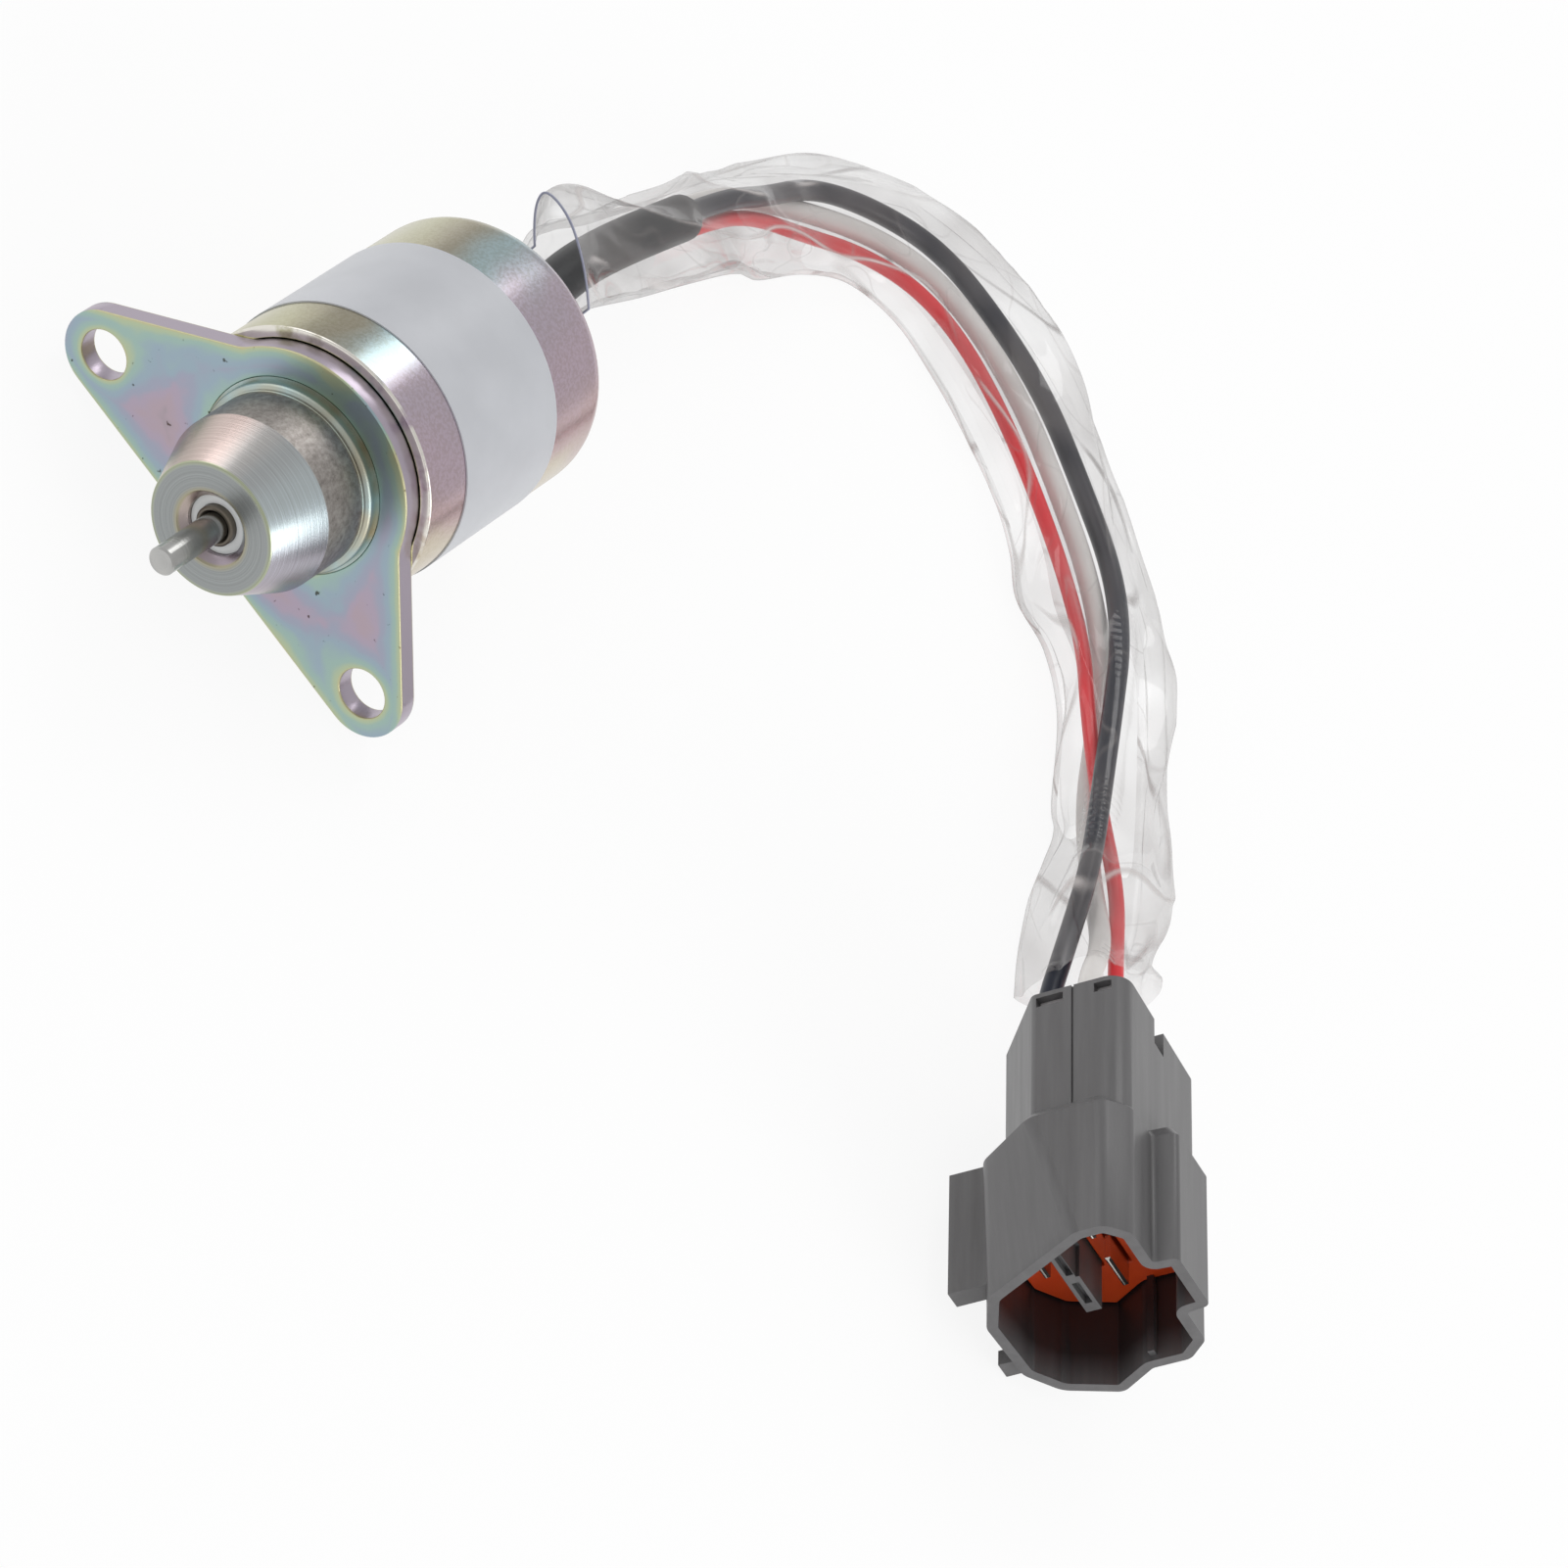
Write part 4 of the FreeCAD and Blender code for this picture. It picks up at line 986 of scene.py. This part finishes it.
def addRim(piece, around):
    # the cut edge of the film at its open end, seen as a thin blue-grey line
    line = bpy.data.curves.new("sleeveRim", "CURVE")
    line.dimensions = "3D"
    line.bevel_depth = sleeveShape["rimMm"] / 2 * mm
    line.bevel_resolution = 2
    spline = line.splines.new("POLY")
    spline.points.add(around - 1)
    for k in range(around):
        spline.points[k].co = tuple(piece.data.vertices[k].co) + (1.0,)
    spline.use_cyclic_u = True
    holder = bpy.data.objects.new("sleeveRim", line)
    scene.collection.objects.link(holder)
    mesh = bakedMesh(holder)
    mesh.name = "sleeveRim"
    bpy.data.objects.remove(holder)
    rim = bpy.data.objects.new("sleeveRim", mesh)
    scene.collection.objects.link(rim)
    giveFinish(rim, cutFilmEdge)
    return rim


def crumpleTree(material):
    # long folds and small wrinkles: between sharp ridges the film sinks inwards, along its own normal
    tree = bpy.data.node_groups.new("crumpledFilm", "GeometryNodeTree")
    face = tree.interface
    face.new_socket("Geometry", in_out="INPUT", socket_type="NodeSocketGeometry")
    for label in ("Fold Depth", "Fold Length", "Fold Width", "Wrinkle Depth", "Wrinkle Length",
                  "Wrinkle Width", "Open Length", "Seed"):
        face.new_socket(label, in_out="INPUT", socket_type="NodeSocketFloat")
    face.new_socket("Geometry", in_out="OUTPUT", socket_type="NodeSocketGeometry")
    given = addNode(tree, "NodeGroupInput")
    place = addNode(tree, "GeometryNodeInputNamedAttribute", {"data_type": "FLOAT_VECTOR"}, {
        "Name": "filmPlace"})
    normal = addNode(tree, "GeometryNodeInputNormal")
    facing = addNode(tree, "SeparateXYZ", inputs={"Vector": normal})
    # film that lies on the table, or just at its open mouth, stays as it is
    free = addNode(tree, "MapRange", inputs={"Value": (facing, "Z"), fromRange: sleeveShape["freeSlopes"]})
    run = addNode(tree, "SeparateXYZ", inputs={"Vector": (place, "Attribute")})
    opened = addNode(tree, "MapRange", inputs={"Value": (run, "X"), "From Max": (given, "Open Length")})
    free = addNode(tree, "Math", {"operation": "MULTIPLY"}, {0: free, 1: opened})
    sunk = None
    for kind in ("Fold", "Wrinkle"):
        sizes = addNode(tree, "CombineXYZ", inputs={
            "X": (given, kind + " Length"), "Y": (given, kind + " Width"), "Z": (given, kind + " Width")})
        scaled = addNode(tree, "VectorMath", {"operation": "DIVIDE"}, {0: (place, "Attribute"), 1: sizes})
        field = addNode(tree, "TexNoise", {"noise_dimensions": "4D"}, {
            "Vector": scaled, "W": (given, "Seed"), "Scale": 1.0, "Detail": 0.0})
        centred = addNode(tree, "Math", {"operation": "SUBTRACT"}, {0: field, 1: 0.5})
        ridge = addNode(tree, "Math", {"operation": "ABSOLUTE"}, {0: centred})
        height = addNode(tree, "MapRange", inputs={"Value": ridge, "From Max": sleeveShape["ridgeReach"]})
        depth = addNode(tree, "Math", {"operation": "MULTIPLY"}, {0: height, 1: (given, kind + " Depth")})
        sunk = depth if sunk is None else addNode(tree, "Math", {"operation": "ADD"}, {
            0: sunk, 1: (depth, "Value")})
    slack = addNode(tree, "GeometryNodeInputNamedAttribute", {"data_type": "FLOAT"}, {"Name": "filmSlack"})
    wanted = addNode(tree, "Math", {"operation": "MULTIPLY"}, {0: sunk, 1: free})
    allowed = addNode(tree, "Math", {"operation": "MINIMUM"}, {0: wanted, 1: (slack, "Attribute")})
    inward = addNode(tree, "Math", {"operation": "MULTIPLY"}, {0: allowed, 1: -1.0})
    moved = addNode(tree, "VectorMath", {"operation": "SCALE"}, {0: normal, "Scale": inward})
    shifted = addNode(tree, "GeometryNodeSetPosition", inputs={
        "Geometry": (given, "Geometry"), "Offset": moved})
    real = addNode(tree, "GeometryNodeRealizeInstances", inputs={"Geometry": (shifted, "Geometry")})
    dressed = addNode(tree, "GeometryNodeSetMaterial", inputs={
        "Geometry": (real, "Geometry"), "Material": material})
    addNode(tree, "NodeGroupOutput", inputs={"Geometry": (dressed, "Geometry")})
    return tree


def bakeTree(thing, tree, values):
    # runs the tree with these values and keeps the result as plain mesh
    layer = thing.modifiers.new("rule", "NODES")
    layer.node_group = tree
    for item in tree.interface.items_tree:
        if item.item_type == "SOCKET" and item.in_out == "INPUT" and item.name in values:
            layer[item.identifier] = values[item.name]
    old = thing.data
    thing.data = bakedMesh(thing)
    thing.modifiers.remove(layer)
    bpy.data.meshes.remove(old)


sleeve = makeSleeve()
values = {"Open Length": sleeveShape["openMm"] * mm, "Seed": sleeveShape["seed"]}
for kind in ("Fold", "Wrinkle"):
    for size in ("Depth", "Length", "Width"):
        values[kind + " " + size] = sleeveShape[kind.lower() + size + "Mm"] * mm
bakeTree(sleeve, crumpleTree(finishes["clear_film"]), values)
sleeveRim = addRim(sleeve, len(sleeveShape["section"]) * sleeveShape["stepsPerSide"])
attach(sleeveRim, "body")
stands(sleeve, "clear_sleeve")
print("sleeve crumpled")

stageLook = {
    "floorMm": -19.05,
    "floorSizeM": 3.0,
    "floorColour": "#FFFFFF",
    "shadowKept": 0.12,
    "worldLevels": (0.69, 0.70),  # at the side and at the top
    "topFrom": 0.8,
    "aim": (-0.06, 0.05, 0.0),
    "lamps": [  # name, place, size, power in watts
        ("leftSoftbox", (0.05, -0.9, 0.34), 0.6, 1.2),
        ("rightSoftbox", (0.1, 0.98, 0.36), 0.6, 3.0),
        ("rearSoftbox", (-0.64, -0.34, 0.755), 0.4, 1.2),
    ],
}


def makeStage():
    size = stageLook["floorSizeM"] / 2
    z = stageLook["floorMm"] * mm
    material = bpy.data.materials.new("whiteTable")
    material.use_nodes = True
    tree = material.node_tree
    tree.nodes.clear()
    path = addNode(tree, "LightPath")
    seen = addNode(tree, "Math", {"operation": "MAXIMUM"}, {
        0: (path, "Is Camera Ray"), 1: (path, "Is Transmission Ray")})
    seen = addNode(tree, "Math", {"operation": "MAXIMUM"}, {0: seen, 1: (path, "Is Glossy Ray")})
    amount = addNode(tree, "Math", {"operation": "MULTIPLY"}, {0: seen, 1: 1 - stageLook["shadowKept"]})
    matt = addNode(tree, "BsdfDiffuse", inputs={"Color": linearColour(stageLook["floorColour"])})
    glow = addNode(tree, "Emission")
    both = addNode(tree, "MixShader", inputs={0: amount, 1: matt, 2: glow})
    addNode(tree, "OutputMaterial", inputs={"Surface": both})
    corners = [(-size, -size, z), (size, -size, z), (size, size, z), (-size, size, z)]
    floor = meshPiece("tableTop", corners, [(0, 1, 2, 3)], material, False)
    world = bpy.data.worlds.new("studioAir")
    scene.world = world
    world.use_nodes = True
    tree = world.node_tree
    tree.nodes.clear()
    path = addNode(tree, "LightPath")
    coord = addNode(tree, "TexCoord")
    axes = addNode(tree, "SeparateXYZ", inputs={"Vector": (coord, "Generated")})
    level = addNode(tree, "MapRange", inputs={
        "Value": (axes, "Z"), "From Max": stageLook["topFrom"], toRange: stageLook["worldLevels"]})
    direct = addNode(tree, "Math", {"operation": "MAXIMUM"}, {
        0: (path, "Is Camera Ray"), 1: (path, "Is Transmission Ray")})
    strength = addNode(tree, "Mix", {"data_type": "FLOAT"}, {"Factor": direct, valueA: level, valueB: 1.0})
    air = addNode(tree, "Background", inputs={"Color": linearColour("#FFFFFF"), "Strength": strength})
    addNode(tree, "OutputWorld", inputs={"Surface": air})
    target = Vector(stageLook["aim"])
    for name, place, lampSize, power in stageLook["lamps"]:
        lampData = bpy.data.lights.new(name, "AREA")
        lampData.size = lampSize
        lampData.energy = power
        lamp = bpy.data.objects.new(name, lampData)
        lamp.location = place
        lamp.rotation_euler = (target - Vector(place)).to_track_quat("-Z", "Y").to_euler()
        scene.collection.objects.link(lamp)


makeStage()
print("stage set")
